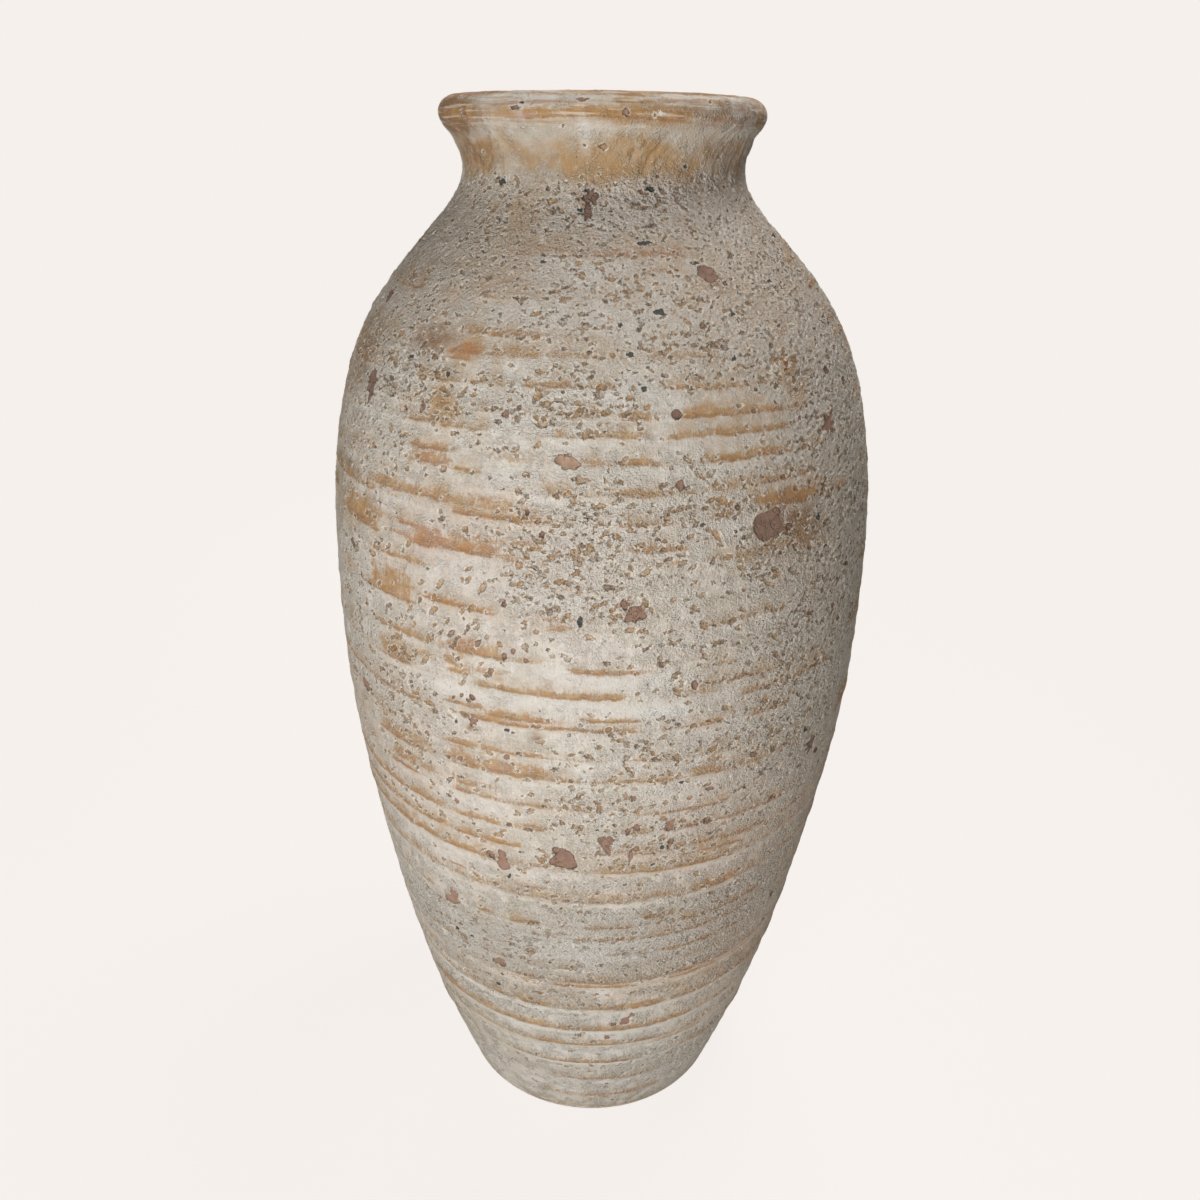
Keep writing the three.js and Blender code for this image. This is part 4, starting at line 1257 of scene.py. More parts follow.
        mesh.vertices.add(len(points))
        mesh.vertices.foreach_set("co", points.ravel().astype(np.float32))
        mesh.loops.add(len(loops))
        mesh.loops.foreach_set("vertex_index", loops.astype(np.int32))
        mesh.polygons.add(len(sizes))
        mesh.polygons.foreach_set("loop_start", np.concatenate([[0], np.cumsum(sizes)[:-1]]).astype(np.int32))
        mesh.polygons.foreach_set("use_smooth", smooth)
        mesh.polygons.foreach_set("material_index", np.where(outer_face, 0, 1).astype(np.int32))
        for coat in self.skin.coats:
            values = np.concatenate([ring.coats[coat] for ring in body] + [np.zeros(len(ends))])
            attribute = mesh.attributes.new(coat, "FLOAT", "POINT")
            attribute.data.foreach_set("value", values.astype(np.float32))
        mesh.update(calc_edges=True)
        mesh.validate()
        facing = np.concatenate([ring.facing for ring in body] + [np.zeros((len(ends), 3))])
        mesh.normals_split_custom_set_from_vertices(facing.tolist())
        return into_scene(name, mesh)

    def course(self, course: Course, below: str) -> bpy.types.Object:
        """One course: up the outside, into the joint above, down the inside and over the joint below.

        Args:
            course: the course.
            below: node of the piece under it.

        Returns:
            The object.
        """
        first, last = self.skin.spans[course.node]
        low, high = self.outline.seam(below), self.outline.seam(course.node)
        rings = self.outside(first, last) + [self.joint(course.node, 0.0)]
        rings += self.inside(low, high, course.inner_steps) + [self.joint(below, 1.0)]
        return self.closed_mesh("clay_" + course.node, rings, False)

    def slab(self) -> bpy.types.Object:
        """The slab: across the underside, up the rubbed edge, over the first joint and across the floor.

        Returns:
            The object.
        """
        first, last = self.skin.spans["base_slab"]
        edge = self.outside(first, last)
        under = [self.ring(share * self.skin.radius[0], 0.0) for share in self.UNDER_RINGS]
        floor_height = self.outline.seam("base_slab")
        rim = self.inner(np.array([floor_height]))[0]
        floor = [self.ring(share * rim, floor_height) for share in (1.0, *reversed(self.UNDER_RINGS))]
        rings = under + edge + [self.joint("base_slab", 0.0)] + floor
        return self.closed_mesh("clay_base_slab", rings, True)

    def roll(self) -> bpy.types.Object:
        """The rolled rim: over the oval coil and back across the joint on the collar.

        Returns:
            The object.
        """
        first, last = self.skin.spans["rim_roll"]
        rings = self.outside(first, last) + [self.joint("neck_collar", 1.0)]
        return self.closed_mesh("clay_rim_roll", rings, False)


def colour(red: int, green: int, blue: int) -> Colour:
    """A display colour as the linear colour that a shader takes.

    Args:
        red: red, from 0 to 255.
        green: green, from 0 to 255.
        blue: blue, from 0 to 255.

    Returns:
        The linear colour, with an alpha of 1.
    """
    def linear(value: int) -> float:
        """One channel: a short straight line near black, and a power of 2.4 above it."""
        share = value / 255.0
        return share / 12.92 if share <= 0.04045 else ((share + 0.055) / 1.055) ** 2.4

    return (linear(red), linear(green), linear(blue), 1.0)


class Net:
    """Adds nodes to one node tree and joins them, so that a formula reads from the inside out. Its
    patterns read one place, in metres."""

    MIX_INPUTS = (0, 6, 7)
    MIX_OUTPUT = 2
    DETAIL = 2.0
    ROUGHNESS = 0.55
    place: Socket

    def __init__(self, tree: Tree) -> None:
        """Takes the tree to add to."""
        self.tree = tree

    def join(self, value: Value, socket: Socket) -> None:
        """Joins a socket to an input, or sets the input to a constant.

        Args:
            value: the socket or the constant.
            socket: the input.
        """
        if isinstance(value, Socket):
            self.tree.links.new(value, socket)
        else:
            socket.default_value = value

    def node(self, kind: str, inputs: dict[str | int, Value] | None = None, **settings: object) -> Node:
        """Adds a node.

        Args:
            kind: Blender's name of the node type.
            inputs: what each named or numbered input takes.
            settings: properties of the node.

        Returns:
            The node.
        """
        made = self.tree.nodes.new(kind)
        for name, value in settings.items():
            setattr(made, name, value)
        for name, value in (inputs or {}).items():
            self.join(value, made.inputs[name])
        return made

    def math(self, operation: str, *values: Value, clamp: bool = False) -> Socket:
        """Result of a math node; a clamped one is kept from 0 to 1."""
        inputs = dict(enumerate(values))
        return self.node("ShaderNodeMath", inputs, operation=operation, use_clamp=clamp).outputs[0]

    def add(self, *values: Value) -> Socket:
        """Sum of numbers or sockets."""
        return reduce(partial(self.math, "ADD"), values)

    def times(self, *values: Value) -> Socket:
        """Product of numbers or sockets."""
        return reduce(partial(self.math, "MULTIPLY"), values)

    def weighed(self, *parts: tuple[Value, Value]) -> Socket:
        """Sum of numbers or sockets, each times its weight."""
        return self.add(*[self.times(value, weight) for value, weight in parts])

    def share(self, first: Value, second: Value) -> Socket:
        """Product of two numbers or sockets, kept from 0 to 1."""
        return self.math("MULTIPLY", first, second, clamp=True)

    def most(self, first: Value, second: Value) -> Socket:
        """The larger of two numbers or sockets."""
        return self.math("MAXIMUM", first, second)

    def rest(self, value: Value, clamp: bool = False) -> Socket:
        """One less a number or socket."""
        return self.math("SUBTRACT", 1, value, clamp=clamp)

    def step(self, value: Value, low: float, high: float) -> Socket:
        """Smooth step from 0 to 1; with low above high it falls instead.

        Args:
            value: number or socket to pass through the step.
            low: value at which the step is 0.
            high: value at which the step is 1.

        Returns:
            The step.
        """
        falls = low > high
        inputs = {
            "Value": value, "From Min": min(low, high), "From Max": max(low, high),
            "To Min": float(falls), "To Max": float(not falls),
        }
        return self.node("ShaderNodeMapRange", inputs, interpolation_type="SMOOTHSTEP").outputs[0]

    def blend(self, share: Value, low: Value, high: Value, mode: str = "MIX") -> Socket:
        """Colour between two colours, a share of the way from the first to the second."""
        inputs = dict(zip(self.MIX_INPUTS, (share, low, high)))
        return self.node("ShaderNodeMix", inputs, data_type="RGBA", blend_type=mode).outputs[self.MIX_OUTPUT]

    def seen_directly(self) -> Socket:
        """1 on rays from the camera, reflections and clear glass, 0 on those that carry light about."""
        rays = self.node("ShaderNodeLightPath").outputs
        return self.most(self.most(rays["Is Camera Ray"], rays["Is Glossy Ray"]), rays["Is Transmission Ray"])

    def coat(self, name: str) -> Socket:
        """A coat of the mesh, by the name of its attribute."""
        return self.node("ShaderNodeAttribute", attribute_name=name).outputs["Fac"]

    def noise(self, cell: Cell, detail: float = DETAIL, shift: Triple | None = None) -> Socket:
        """Noise from 0 to 1.

        Args:
            cell: size of the noise's cells in millimetres, the same or one for each axis.
            detail: number of finer layers.
            shift: metres to move the noise by, if any.

        Returns:
            The noise.
        """
        cells = cell if isinstance(cell, tuple) else (cell,) * 3
        place = self.place
        if shift:
            place = self.node("ShaderNodeMapping", {"Vector": place, "Location": shift}).outputs[0]
        scaling = {"Vector": place, "Scale": tuple(1.0 / (MM * size) for size in cells)}
        scaled = self.node("ShaderNodeMapping", scaling, vector_type="POINT").outputs[0]
        inputs = {"Vector": scaled, "Scale": 1.0, "Detail": detail, "Roughness": self.ROUGHNESS}
        return self.node("ShaderNodeTexNoise", inputs).outputs[0]

    def wave(self, cell: Cell, detail: float = DETAIL) -> Socket:
        """The same noise from -0.5 to 0.5."""
        return self.add(self.noise(cell, detail), -0.5)

    def group(self, tree: Tree, **inputs: Value) -> Node:
        """Puts in a node group, with the place and its other inputs; an underscore stands for a space."""
        named = {name.replace("_", " "): value for name, value in inputs.items()}
        return self.node("ShaderNodeGroup", {"Place": self.place, **named}, node_tree=tree)


class Effect(Net):
    """A shader node group in the making, which reads its inputs and gives its outputs by name."""

    def __init__(self, name: str, inputs: dict[str, str], outputs: dict[str, str]) -> None:
        """Starts the group; its first input is always the place.

        Args:
            name: name of the group.
            inputs: names of the inputs of each kind, Color or Float, with a comma between two.
            outputs: the same for the outputs.
        """
        tree = bpy.data.node_groups.new(name, "ShaderNodeTree")
        for side, sockets in (("INPUT", {"Vector": "Place", **inputs}), ("OUTPUT", outputs)):
            for kind, names in sockets.items():
                for label in names.split(", "):
                    tree.interface.new_socket(label, in_out=side, socket_type="NodeSocket" + kind)
        self.inputs = tree.nodes.new("NodeGroupInput").outputs
        self.outputs = tree.nodes.new("NodeGroupOutput").inputs
        self.place = self.inputs["Place"]
        super().__init__(tree)

    def finish(self, **values: Socket) -> Tree:
        """Joins the outputs.

        Args:
            values: socket for each output.

        Returns:
            The group.
        """
        for name, value in values.items():
            self.join(value, self.outputs[name])
        return self.tree


class SharedEffects:
    """Node groups that every finish of the jar uses."""

    def __init__(self) -> None:
        """Builds the groups once."""
        self.mottle = self._mottle()
        self.streaks = self._streaks()
        self.edge = self._edge()
        self.pores = self._pores()
        self.crumbs = self._crumbs()

    @staticmethod
    def _mottle() -> Tree:
        """Three colours of dried lime in soft patches, then in flecks, with fine light and dark grain and
        near-white specks where a finer noise is high.

        Returns:
            The group.
        """
        net = Effect(
            "lime_mottle",
            {"Color": "Pale, Grey, Rose, White", "Float": "Rose share, Speck share, Amount"},
            {"Color": "Color", "Float": "Grain, Brush"},
        )
        patches = net.weighed((net.noise(24, 3), 0.5), (net.noise(5, 3), 0.5))
        flecks = net.noise(2.4)
        grain = net.noise(0.95, 3)
        down = net.noise((1, 1, 12))
        level = net.noise((14, 14, 1))
        tint = net.blend(net.step(patches, 0.42, 0.6), net.inputs["Grey"], net.inputs["Pale"])
        rosy = net.share(net.step(flecks, 0.47, 0.64), net.add(0.35, net.inputs["Rose share"]))
        tint = net.blend(rosy, tint, net.inputs["Rose"])
        rough = net.step(net.inputs["Amount"], 0, 0.9)
        specks = net.step(net.weighed((net.noise(1.7), 0.65), (net.noise(4.2), 0.35)), 0.52, 0.62)
        speckled = net.times(specks, net.inputs["Speck share"], net.add(0.35, net.times(rough, 0.65)))
        tint = net.blend(speckled, tint, net.inputs["White"])
        fine = net.times(net.add(grain, -0.5), net.add(0.4, net.times(rough, 0.45)))
        shade = net.add(0.65, fine, net.times(down, 0.32), net.times(level, 0.3))
        grey = net.node("ShaderNodeCombineColor", dict.fromkeys(range(3), shade)).outputs[0]
        tint = net.blend(1, tint, grey, "MULTIPLY")
        return net.finish(Color=tint, Grain=grain, Brush=net.weighed((down, 0.5), (level, 0.5)))

    @staticmethod
    def _streaks() -> Tree:
        """Ochre where its cover beats a hatch of fine lines, upright or level, and flecks; its colour runs
        from light through deep to red in broad patches.

        Returns:
            The group.
        """
        net = Effect(
            "ochre_streaks",
            {"Float": "Cover, Upright, Level, Redness", "Color": "Light, Deep, Red"},
            {"Float": "Mask", "Color": "Color"},
        )
        hatch = net.weighed(
            (net.wave((1.1, 1.1, 10)), net.inputs["Upright"]),
            (net.wave(2, 3), 1.15),
            (net.wave((22, 22, 1.5)), net.inputs["Level"]),
        )
        cover = net.inputs["Cover"]
        mask = net.step(net.add(cover, net.times(hatch, net.step(cover, 0, 0.2))), 0.1, 0.62)
        worn = net.add(0.4, net.times(cover, 0.34), net.times(net.noise((5, 5, 8), 3), 0.45))
        deep = net.step(net.noise(6, 4), 0.36, 0.66)
        tint = net.blend(deep, net.inputs["Light"], net.inputs["Deep"])
        red = net.most(net.times(net.step(net.noise(30), 0.52, 0.66), 0.5), net.inputs["Redness"])
        return net.finish(Mask=net.times(mask, worn), Color=net.blend(red, tint, net.inputs["Red"]))

    @staticmethod
    def _edge() -> Tree:
        """Inside of a mark and the rim round it, from the distance to its edge, frayed by fine noise.

        Returns:
            The group.
        """
        net = Effect("frayed_edge", {"Float": "Distance, Fray, Rim width"}, {"Float": "Inside, Rim"})
        distance = net.add(net.inputs["Distance"], net.times(net.wave(1.3), net.inputs["Fray"], 2))
        inside = net.step(distance, 0.18, -0.18)
        beyond = net.math("DIVIDE", distance, net.inputs["Rim width"])
        return net.finish(Inside=inside, Rim=net.times(net.step(beyond, 1, 0.25), net.rest(inside)))

    @staticmethod
    def _pores() -> Tree:
        """Pores too fine for the mesh: where two mixed noises fall under a level that the amount raises,
        with a painted highlight as a pale rim where they lie just over it.

        Returns:
            The group.
        """
        net = Effect("fine_pores", {"Float": "Amount"}, {"Float": "Mask, Rim, Tone"})
        field = net.weighed((net.noise((1.8, 1.8, 1.4)), 0.72), (net.noise(4, 1), 0.28))
        level = net.add(0.325, net.times(net.inputs["Amount"], 0.082))
        below = net.math("SUBTRACT", level, field)
        rim = net.times(net.step(below, -0.055, -0.03), net.step(below, -0.004, -0.02))
        return net.finish(Mask=net.step(below, -0.012, 0.022), Rim=rim, Tone=net.noise(5.5, 3))

    @staticmethod
    def _crumbs() -> Tree:
        """Curled crust: worm-like ridges where a noise crosses its middle, which get a painted highlight, and
        hollows between them where a finer noise is low, which get painted shade; the amount widens the
        patches in which both show.

        Returns:
            The group.
        """
        net = Effect("curled_crust", {"Float": "Amount"}, {"Float": "Ridge, Hollow, Height"})
        crossing = net.math("ABSOLUTE", net.wave((2.3, 2.3, 1.8), 1))
        fine = net.noise((1.5, 1.5, 1.3))
        patch = net.step(net.add(net.noise(9, 3), net.times(net.inputs["Amount"], 0.3)), 0.46, 0.72)
        ridge = net.times(net.step(crossing, 0.06, 0.012), patch)
        hollow = net.times(net.step(fine, 0.46, 0.36), patch, net.rest(ridge))
        height = net.weighed((ridge, 0.34), (fine, net.add(0.35, net.times(patch, 0.85))))
        return net.finish(Ridge=ridge, Hollow=hollow, Height=height)


class Finish(Net):
    """The net of a new material, whose patterns read the place on the object."""

    def __init__(self, name: str) -> None:
        """Makes the material.

        Args:
            name: name of the material.
        """
        self.material = bpy.data.materials.new(name)
        self.material.use_nodes = True
        super().__init__(self.material.node_tree)
        self.shader = self.tree.nodes["Principled BSDF"]
        self.place = self.node("ShaderNodeTexCoord").outputs["Object"]

    def give(self, tint: Value, rough: Value, shine: float) -> None:
        """Gives the shader its colour, its roughness and its level of shine."""
        for name, value in (("Base Color", tint), ("Roughness", rough), ("Specular IOR Level", shine)):
            self.join(value, self.shader.inputs[name])

    def raise_by(self, relief: Socket) -> None:
        """Bends the shader's normal by a relief in millimetres."""
        bump = self.node("ShaderNodeBump", {"Strength": 1.0, "Distance": MM, "Height": relief})
        self.join(bump.outputs["Normal"], self.shader.inputs["Normal"])

    def patchy(self, coat: str, cell: float) -> Socket:
        """Mask of a stain: its coat with noise added where it is laid, so that its edge is ragged.

        Args:
            coat: name of the coat.
            cell: size of the noise's cells in millimetres.

        Returns:
            The mask.
        """
        share = self.coat(coat)
        ragged = self.times(self.wave(cell, 5), self.step(share, 0, 0.35), 1.5)
        return self.times(self.step(self.add(share, ragged), -0.15, 0.9), 0.95)


@dataclass(frozen=True)
class LimeWash:
    """Weathered lime wash over fired clay, with ochre showing on the rings. Its edges are the coats that
    hold distances, each with the fray of its edge and the width of the rim round it."""

    name: str = "lime_wash"
    pale: Colour = colour(232, 228, 220)
    grey: Colour = colour(212, 206, 193)
    rose: Colour = colour(218, 199, 184)
    white: Colour = colour(237, 232, 222)
    ochre_light: Colour = colour(192, 158, 112)
    ochre_deep: Colour = colour(168, 129, 83)
    ochre_red: Colour = colour(180, 130, 92)
    # Painted shadow along the crisp lower edge of an ochre band.
    ochre_edge_shadow: Colour = colour(146, 106, 72)
    tan: Colour = colour(184, 149, 105)
    brown: Colour = colour(146, 114, 84)
    moss: Colour = colour(184, 178, 158)
    rose_stain: Colour = colour(190, 165, 148)
    lip: Colour = colour(236, 233, 227)
    rim_line: Colour = colour(237, 229, 216)
    hollow_shade: Colour = (0.79, 0.72, 0.64, 1.0)
    pit_ochre: Colour = colour(192, 152, 106)
    pit_dark: Colour = colour(144, 116, 93)
    # Painted shade at the middle of a pit.
    pit_middle_shade: Colour = colour(112, 94, 75)
    chip_pale: Colour = colour(188, 160, 136)
    chip: Colour = colour(162, 130, 112)
    chip_dark: Colour = colour(130, 108, 96)
    # Painted shadow just inside a chip's edge.
    chip_edge_shadow: Colour = colour(92, 72, 62)
    grain: Colour = colour(96, 96, 90)
    lime: Colour = colour(240, 234, 224)
    streak_rose: Colour = colour(194, 160, 148)
    streak_white: Colour = colour(236, 227, 212)
    roughness: float = 0.93
    shine: float = 0.18
    brushed: bool = False
    edges: tuple[tuple[str, float, float], ...] = (
        ("pit", 1.6, 1.25), ("chip", 1.0, 1.1), ("grain", 1.0, 1.0), ("pale", 1.4, 0.9),
    )

    def make(self, effects: SharedEffects) -> Material:
        """Builds the material: the mottled wash with its stains, then the ochre, then the wear.

        Args:
            effects: the shared node groups.

        Returns:
            The material.
        """
        net = Finish(self.name)
        mottle = net.group(
            effects.mottle, Pale=self.pale, Grey=self.grey, Rose=self.rose, White=self.white,
            Rose_share=net.coat("rose"), Speck_share=0.85, Amount=net.coat("rough"),
        )
        tint, streaks = self._ochred(net, effects, self._stained(net, mottle.outputs["Color"]))
        tint, relief = self._worn(net, effects, tint, mottle, streaks)
        net.give(tint, net.add(self.roughness, net.times(net.wave(6), 0.1)), self.shine)
        net.raise_by(relief)
        return net.material

    def _stained(self, net: Finish, tint: Socket) -> Socket:
        """The wash under its stains, which are soft under clouds of noise, or ragged where tan or brown.

        Args:
            net: the material's net.
            tint: colour of the mottled wash.

        Returns:
            The stained colour.
        """
        cloud = net.add(0.45, net.times(net.noise(7, 4), 0.9))

        def veil(coat: str, most: float) -> Socket:
            """Share of a soft stain."""
            return net.share(net.coat(coat), net.times(cloud, most))

        for share, stain in (
            (veil("rose", 0.5), self.rose_stain),
            (veil("moss", 0.5), self.moss),
            (net.patchy("tan", 8.0), self.tan),
            (veil("lip", 0.26), self.lip),
            (veil("lime", 0.72), self.lip),
            (net.patchy("brown", 5.0), self.brown),
        ):
            tint = net.blend(share, tint, stain)
        return tint

    def _ochred(self, net: Finish, effects: SharedEffects, tint: Socket) -> tuple[Socket, Socket]:
        """Ochre over the wash, with a painted shadow along the crisp edge of each band; a brushed finish has
        it in level strokes and not where lime lies.

        Args:
            net: the material's net.
            effects: the shared node groups.
            tint: colour of the wash.

        Returns:
            Sockets of the colour and of the ochre's mask.
        """
        cover = net.coat("ochre")
        if self.brushed:
            cover = net.times(cover, net.rest(net.times(net.coat("lime"), 0.8), clamp=True))
        upright, level = (0.4, 2.4) if self.brushed else (1.35, 0.9)
        streaks = net.group(
            effects.streaks, Cover=cover, Redness=net.share(net.coat("rose"), 1.1), Light=self.ochre_light,
            Deep=self.ochre_deep, Red=self.ochre_red, Upright=upright, Level=level,
        )
        mask = streaks.outputs["Mask"]
        # Painted shadow along the crisp lower edge of the ochre.
        edge_shadow = net.times(net.step(net.coat("edge"), 0.25, 0.9), net.step(mask, 0.3, 0.8), 0.55)
        ochre = net.blend(edge_shadow, streaks.outputs["Color"], self.ochre_edge_shadow)
        tint = net.blend(net.times(mask, 0.94), tint, ochre)
        return self._brushed(net, tint) if self.brushed else tint, mask

    def _brushed(self, net: Finish, tint: Socket) -> Socket:
        """Level brush strokes of ochre, rose and white over the rim, strongest where the rim coat is 1.

        Args:
            net: the material's net.
            tint: colour under the strokes.

        Returns:
            The colour.
        """
        rim = net.coat("rim")
        strokes = net.noise((26, 26, 1.7), 3)
        others = net.noise((34, 34, 2.3), 3, shift=(0.3, 0.1, 0.2))
        for stroke, most, tone in (
            (net.step(strokes, 0.45, 0.62), 0.55, self.ochre_deep),
            (net.step(others, 0.56, 0.66), 0.5, self.streak_rose),
            (net.step(others, 0.46, 0.36), 0.55, self.streak_white),
        ):
            tint = net.blend(net.times(stroke, rim, most), tint, tone)
        return tint

    def _worn(
        self, net: Finish, effects: SharedEffects, tint: Socket, mottle: Node, streaks: Socket
    ) -> tuple[Socket, Socket]:
        """The wash with its wear and painted light: the crust first, with a painted highlight on its ridges
        and painted shade in its hollows, then pores with a painted highlight round them and, on the lower
        jar, painted shade in them, the pale rims of pits and chips, and last the pits, grains, lime lumps and
        chips.

        Args:
            net: the material's net.
            effects: the shared node groups.
            tint: colour of the wash and its ochre.
            mottle: node of the wash's mottle.
            streaks: mask of the ochre.

        Returns:
            Sockets of the colour, and of the fine relief in millimetres.
        """
        pit, chip, grain, lump = [
            net.group(effects.edge, Distance=net.coat(coat), Fray=fray, Rim_width=wide).outputs
            for coat, fray, wide in self.edges
        ]
        pores = net.group(effects.pores, Amount=net.coat("rough")).outputs
        crumbs = net.group(effects.crumbs, Amount=net.coat("rough")).outputs
        shaded_pits = net.coat("shaded_pits")
        # own is the wash darkened by hollow_shade: painted shade for hollows, pores and pits.
        own = net.blend(1, tint, self.hollow_shade, "MULTIPLY")
        pore_tint = net.blend(net.step(pores["Tone"], 0.48, 0.6), self.pit_ochre, self.pit_dark)
        pore_tint = net.blend(net.step(shaded_pits, 0.2, 0.8), pore_tint, own)
        smooth = net.step(net.coat("lip"), 0.8, 0.2)
        patch = net.step(net.noise(2.6), 0.42, 0.58)
        pit_rim = net.times(pit["Rim"], net.add(0.25, net.times(patch, 0.75)), 0.9)
        rims = net.most(pit_rim, net.times(chip["Rim"], patch, 0.6))
        rims = net.most(rims, net.times(grain["Rim"], 0.65))
        filled = net.add(0.42, net.times(net.step(net.noise(1.6), 0.42, 0.56), 0.52))
        # White on the crust's ridges is a painted highlight, own in its hollows is painted shade, and white
        # round the pores is a painted highlight.
        for share, tone in (
            (net.times(crumbs["Ridge"], smooth, net.add(0.4, net.times(shaded_pits, 0.18))), self.white),
            (net.times(crumbs["Hollow"], smooth, net.add(0.28, net.times(shaded_pits, 0.12))), own),
            (net.times(pores["Rim"], 0.45), self.white),
            (net.times(pores["Mask"], 0.76), pore_tint),
            (rims, self.rim_line),
            (net.times(pit["Inside"], filled), self._pit_floor(net, own, patch)),
            (grain["Inside"], self.grain),
            (lump["Inside"], self.lime),
            (chip["Inside"], self._chip_clay(net)),
        ):
            tint = net.blend(share, tint, tone)
        unbroken = net.rest(net.times(chip["Inside"], 0.8))
        crust = net.times(crumbs["Height"], unbroken, smooth, net.add(1, net.times(shaded_pits, 0.9)))
        relief = net.add(
            net.times(mottle.outputs["Grain"], unbroken, 0.42),
            net.times(mottle.outputs["Brush"], 0.3),
            crust,
            net.times(rims, 0.18),
            net.times(pores["Mask"], -0.4),
            net.times(pit["Inside"], -0.55),
            net.times(chip["Inside"], -0.6),
            net.times(grain["Inside"], -0.25),
            net.times(streaks, -0.14),
        )
        return tint, relief

    def _pit_floor(self, net: Finish, own: Socket, patch: Socket) -> Socket:
        """Colour down in a pit: the wash in painted shade, ochre or dark by the pit's tone, painted shade at
        its middle.

        Args:
            net: the material's net.
            own: the wash's colour darkened as painted shade in a hollow.
            patch: patches in which the painted shade at the middles is darker.

        Returns:
            The colour.
        """
        tone = net.coat("pit_tone")
        toned = net.step(tone, 0.15, 0.35)
        tint = net.blend(toned, own, self.pit_ochre)
        tint = net.blend(net.step(tone, 0.65, 0.85), tint, self.pit_dark)
        # Painted shade deepening towards the pit's middle.
        middle = net.step(net.coat("pit"), -1, -0.35)
        deep = net.times(middle, net.add(0.12, net.times(patch, 0.58)), net.add(0.35, net.times(toned, 0.65)))
        return net.blend(deep, tint, self.pit_middle_shade)

    def _chip_clay(self, net: Finish) -> Socket:
        """Colour of the clay in a chip, from pale to dark by the chip's tone, with a broken painted shadow at
        its edge.

        Args:
            net: the material's net.

        Returns:
            The colour.
        """
        clay = net.add(net.coat("chip_tone"), net.times(net.wave(3, 3), 1.1))
        bare = net.blend(net.step(clay, -0.1, 0.5), self.chip_pale, self.chip)
        bare = net.blend(net.step(clay, 0.5, 1.2), bare, self.chip_dark)
        # Painted shadow inside the chip's edge, stronger on darker chips.
        edge = net.times(net.step(net.coat("chip"), -1, -0.2), net.step(net.noise(4.5), 0.48, 0.6))
        edge = net.times(edge, net.step(net.coat("chip_tone"), 0.1, 0.6), 0.7)
        return net.blend(edge, bare, self.chip_edge_shadow)


@dataclass(frozen=True)
class BareClay:
    """Unglazed buff clay of the inside and the underside, with wash lapping over the mouth."""

    name: str = "bare_clay"
    light: Colour = colour(186, 153, 121)
    deep: Colour = colour(150, 114, 84)
    dust: Colour = colour(205, 190, 168)
    wash: Colour = colour(214, 204, 188)
    lap_start: float = 0.655
    lap_fade: float = 0.006
    roughness: float = 0.95
    shine: float = 0.15

    def make(self, effects: SharedEffects) -> Material:
        """Builds the material: two colours of clay in level finger marks, dust in patches, and the wash
        where the height beats a ragged line inside the mouth.

        Args:
            effects: the shared node groups.

        Returns:
            The material.
        """
        net = Finish(self.name)
        fingers = net.weighed((net.noise((60, 60, 5), 3), 0.6), (net.noise(12, 4), 0.4))
        tint = net.blend(net.step(fingers, 0.38, 0.62), self.deep, self.light)
        tint = net.blend(net.times(net.step(net.noise(18, 5), 0.5, 0.7), 0.6), tint, self.dust)
        mottle = net.group(
            effects.mottle, Pale=self.wash, Grey=self.dust, Rose=self.light, White=self.wash,
            Rose_share=0.1, Speck_share=0.5, Amount=0.3,
        )
        height = net.node("ShaderNodeSeparateXYZ", {0: net.place}).outputs["Z"]
        ragged = net.times(net.wave(16, 4), 0.05)
        lap = net.step(net.add(height, ragged), self.lap_start, self.lap_start + self.lap_fade)
        tint = net.blend(lap, tint, mottle.outputs["Color"])
        pores = net.group(effects.pores, Amount=0.3).outputs["Mask"]
        tint = net.blend(net.times(pores, 0.6), tint, self.deep)
        net.give(tint, self.roughness, self.shine)
        net.raise_by(net.weighed((fingers, 0.9), (mottle.outputs["Grain"], 0.3), (pores, -0.3)))
        return net.material


@dataclass(frozen=True)
class Softbox:
    """One rectangular soft lamp that faces the jar: its turn from the camera's side and its distance from
    the axis, its height and the height it is aimed at, its size and its power."""

    name: str
    turn: float
    away: float
    height: float
    aim: float
    wide: float
    tall: float
    power: float

    def build(self) -> None:
        """Makes the lamp."""
        data = bpy.data.lights.new(self.name, "AREA")
        data.shape = "RECTANGLE"
        data.size, data.size_y = self.wide, self.tall
        data.energy = self.power
        lamp = into_scene(self.name, data)
        turn = math.radians(self.turn)
        lamp.location = (self.away * math.sin(turn), -self.away * math.cos(turn), self.height)
        towards = Vector((0.0, 0.0, self.aim)) - lamp.location
        lamp.rotation_euler = towards.to_track_quat("-Z", "Y").to_euler()
        lamp.visible_camera = False


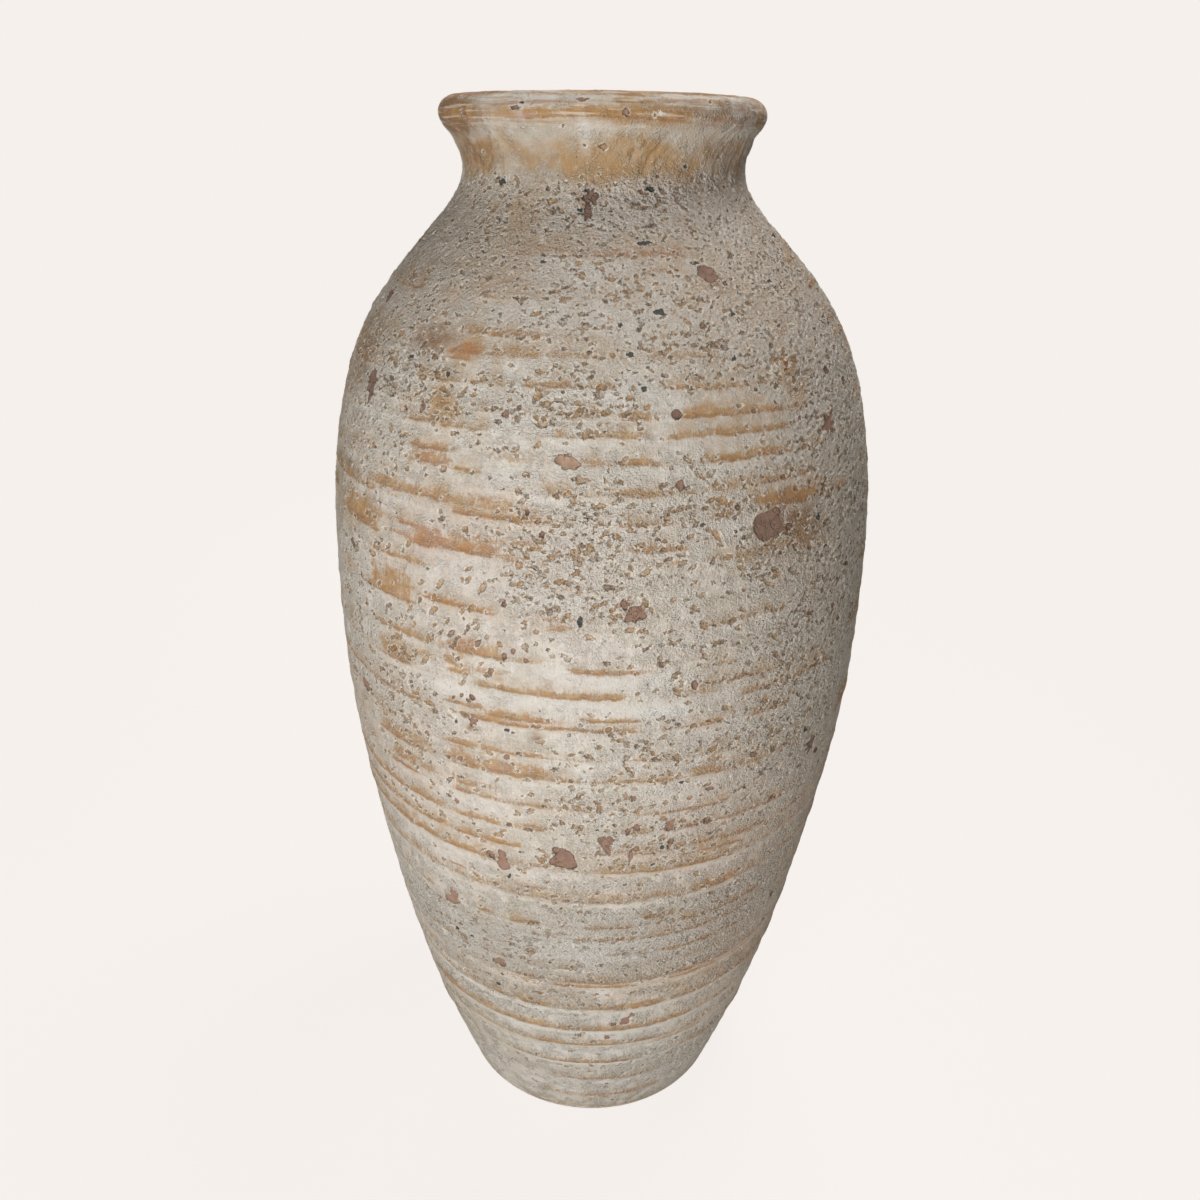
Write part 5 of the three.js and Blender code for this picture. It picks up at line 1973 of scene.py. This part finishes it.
@dataclass(frozen=True)
class Studio:
    """Plain pale floor and soft light: a tall lamp to the left of the camera, a lower one high up behind
    the jar's right side, a dimmer one behind it, and a dim even world."""

    backdrop: Colour = colour(245, 240, 236)
    floor_reach: float = 9.0
    floor_sides: int = 96
    floor_fade: tuple[float, float] = (0.45, 1.9)
    floor_show: float = 0.9
    floor_glow: float = 1.055
    floor_roughness: float = 0.9
    lamps: tuple[Softbox, ...] = (
        Softbox("tall_softbox", -17.5, 1.45, 0.58, 0.2, 0.5, 0.9, 14.4),
        Softbox("high_softbox", 121.0, 0.5, 1.74, 0.5, 0.6, 0.6, 12.7),
        Softbox("back_softbox", 188.0, 1.5, 0.6, 0.25, 0.7, 0.9, 7.0),
    )
    world_level: float = 0.015

    def build(self) -> None:
        """Makes the floor, the lamps and the world."""
        self._floor()
        for lamp in self.lamps:
            lamp.build()
        self._world()

    def _floor(self) -> None:
        """A broad disc whose colour near the camera's view is mostly the backdrop's, so that only a soft
        shadow shows on it, and wholly the backdrop's far away."""
        turn = np.linspace(0.0, 2.0 * math.pi, self.floor_sides, endpoint=False)
        disc = self.floor_reach * np.stack([np.cos(turn), np.sin(turn), np.zeros_like(turn)], axis=1)
        mesh = bpy.data.meshes.new("floor")
        mesh.from_pydata(disc.tolist(), [], [list(range(self.floor_sides))])
        floor = into_scene("floor", mesh)
        net = Finish("pale_floor")
        net.give(self.backdrop, self.floor_roughness, 0.0)
        away = net.node("ShaderNodeVectorMath", {0: net.place}, operation="LENGTH").outputs["Value"]
        far = net.step(away, *self.floor_fade)
        levels = (self.floor_show, self.floor_glow)
        plain, bright = [net.add(near, net.times(far, 1 - near)) for near in levels]
        glow = net.node("ShaderNodeEmission", {"Color": self.backdrop, "Strength": bright}).outputs[0]
        parts = {0: net.times(net.seen_directly(), plain), 1: net.shader.outputs[0], 2: glow}
        mixed = net.node("ShaderNodeMixShader", parts).outputs[0]
        net.join(mixed, net.tree.nodes["Material Output"].inputs["Surface"])
        mesh.materials.append(net.material)

    def _world(self) -> None:
        """The backdrop's colour where it is seen, and a dim even light on the jar."""
        world = bpy.data.worlds.new("studio")
        bpy.context.scene.world = world
        world.use_nodes = True
        net = Net(world.node_tree)
        background = world.node_tree.nodes["Background"]
        level = net.add(self.world_level, net.times(net.seen_directly(), 1 - self.world_level))
        net.join(self.backdrop, background.inputs["Color"])
        net.join(level, background.inputs["Strength"])


@dataclass(frozen=True)
class Viewpoint:
    """The camera at the photograph's viewing angle, in metres and degrees."""

    away: float = 0.6724
    height: float = 0.6724
    down: float = 23.506
    roll: float = 0.8
    view_angle: float = 60.0

    def build(self) -> None:
        """Makes the camera and sets it."""
        data = bpy.data.cameras.new("viewpoint")
        data.sensor_width = 36.0
        data.lens_unit = "FOV"
        data.angle = math.radians(self.view_angle)
        data.clip_start = 0.01
        camera = into_scene("viewpoint", data)
        tilt = Matrix.Rotation(math.radians(90.0 - self.down), 4, "X")
        roll = Matrix.Rotation(math.radians(self.roll), 4, "Z")
        camera.matrix_world = Matrix.Translation((0.0, -self.away, self.height)) @ (tilt @ roll)
        bpy.context.scene.camera = camera


class Jar:
    """The whole jar: its outside is worked out once, then each piece is built and dressed."""

    def __init__(self) -> None:
        """Works out the outside, from the rings to the last chip."""
        self.outline = JarOutline()
        self.skin = Skin(self.outline)
        RingBands(BANDS, seed=3).lay(self.skin)
        Wash().lay(self.skin)
        Pits(seed=8).lay(self.skin)
        Flaws(MARKS, seed=21).lay(self.skin)

    def build(self) -> None:
        """Builds, dresses and reports each piece."""
        effects = SharedEffects()
        wash = LimeWash().make(effects)
        rim_wash = LimeWash(
            name="brushed_rim", brushed=True,
            ochre_light=colour(200, 162, 112), ochre_deep=colour(172, 130, 82),
        ).make(effects)
        clay = BareClay().make(effects)
        makers = Courses(self.outline, self.skin, Lean())
        self.dress(makers.slab(), "base_slab", wash, clay)
        below = "base_slab"
        for course in COURSES:
            self.dress(makers.course(course, below), course.node, wash, clay)
            below = course.node
        self.dress(makers.roll(), "rim_roll", rim_wash, clay)

    @staticmethod
    def dress(piece: bpy.types.Object, node: str, outside: Material, inside: Material) -> None:
        """Gives a piece its finishes, seats it on its body and puts it in the place of its CAD node.

        Args:
            piece: the piece.
            node: the CAD node that it stands for.
            outside: finish of the faces outside.
            inside: finish of the faces inside, at the joints and underneath.
        """
        piece.data.materials.append(outside)
        piece.data.materials.append(inside)
        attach(piece, BODY)
        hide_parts(node)
        log.info("%s: %d points, %d faces", piece.name, len(piece.data.vertices), len(piece.data.polygons))


def main() -> None:
    """Builds the studio, the camera and the jar."""
    logging.basicConfig(level=logging.INFO, format="%(name)s: %(message)s")
    bpy.context.scene.view_settings.view_transform = "Standard"
    Viewpoint().build()
    Studio().build()
    Jar().build()


if __name__ == "__main__":
    main()
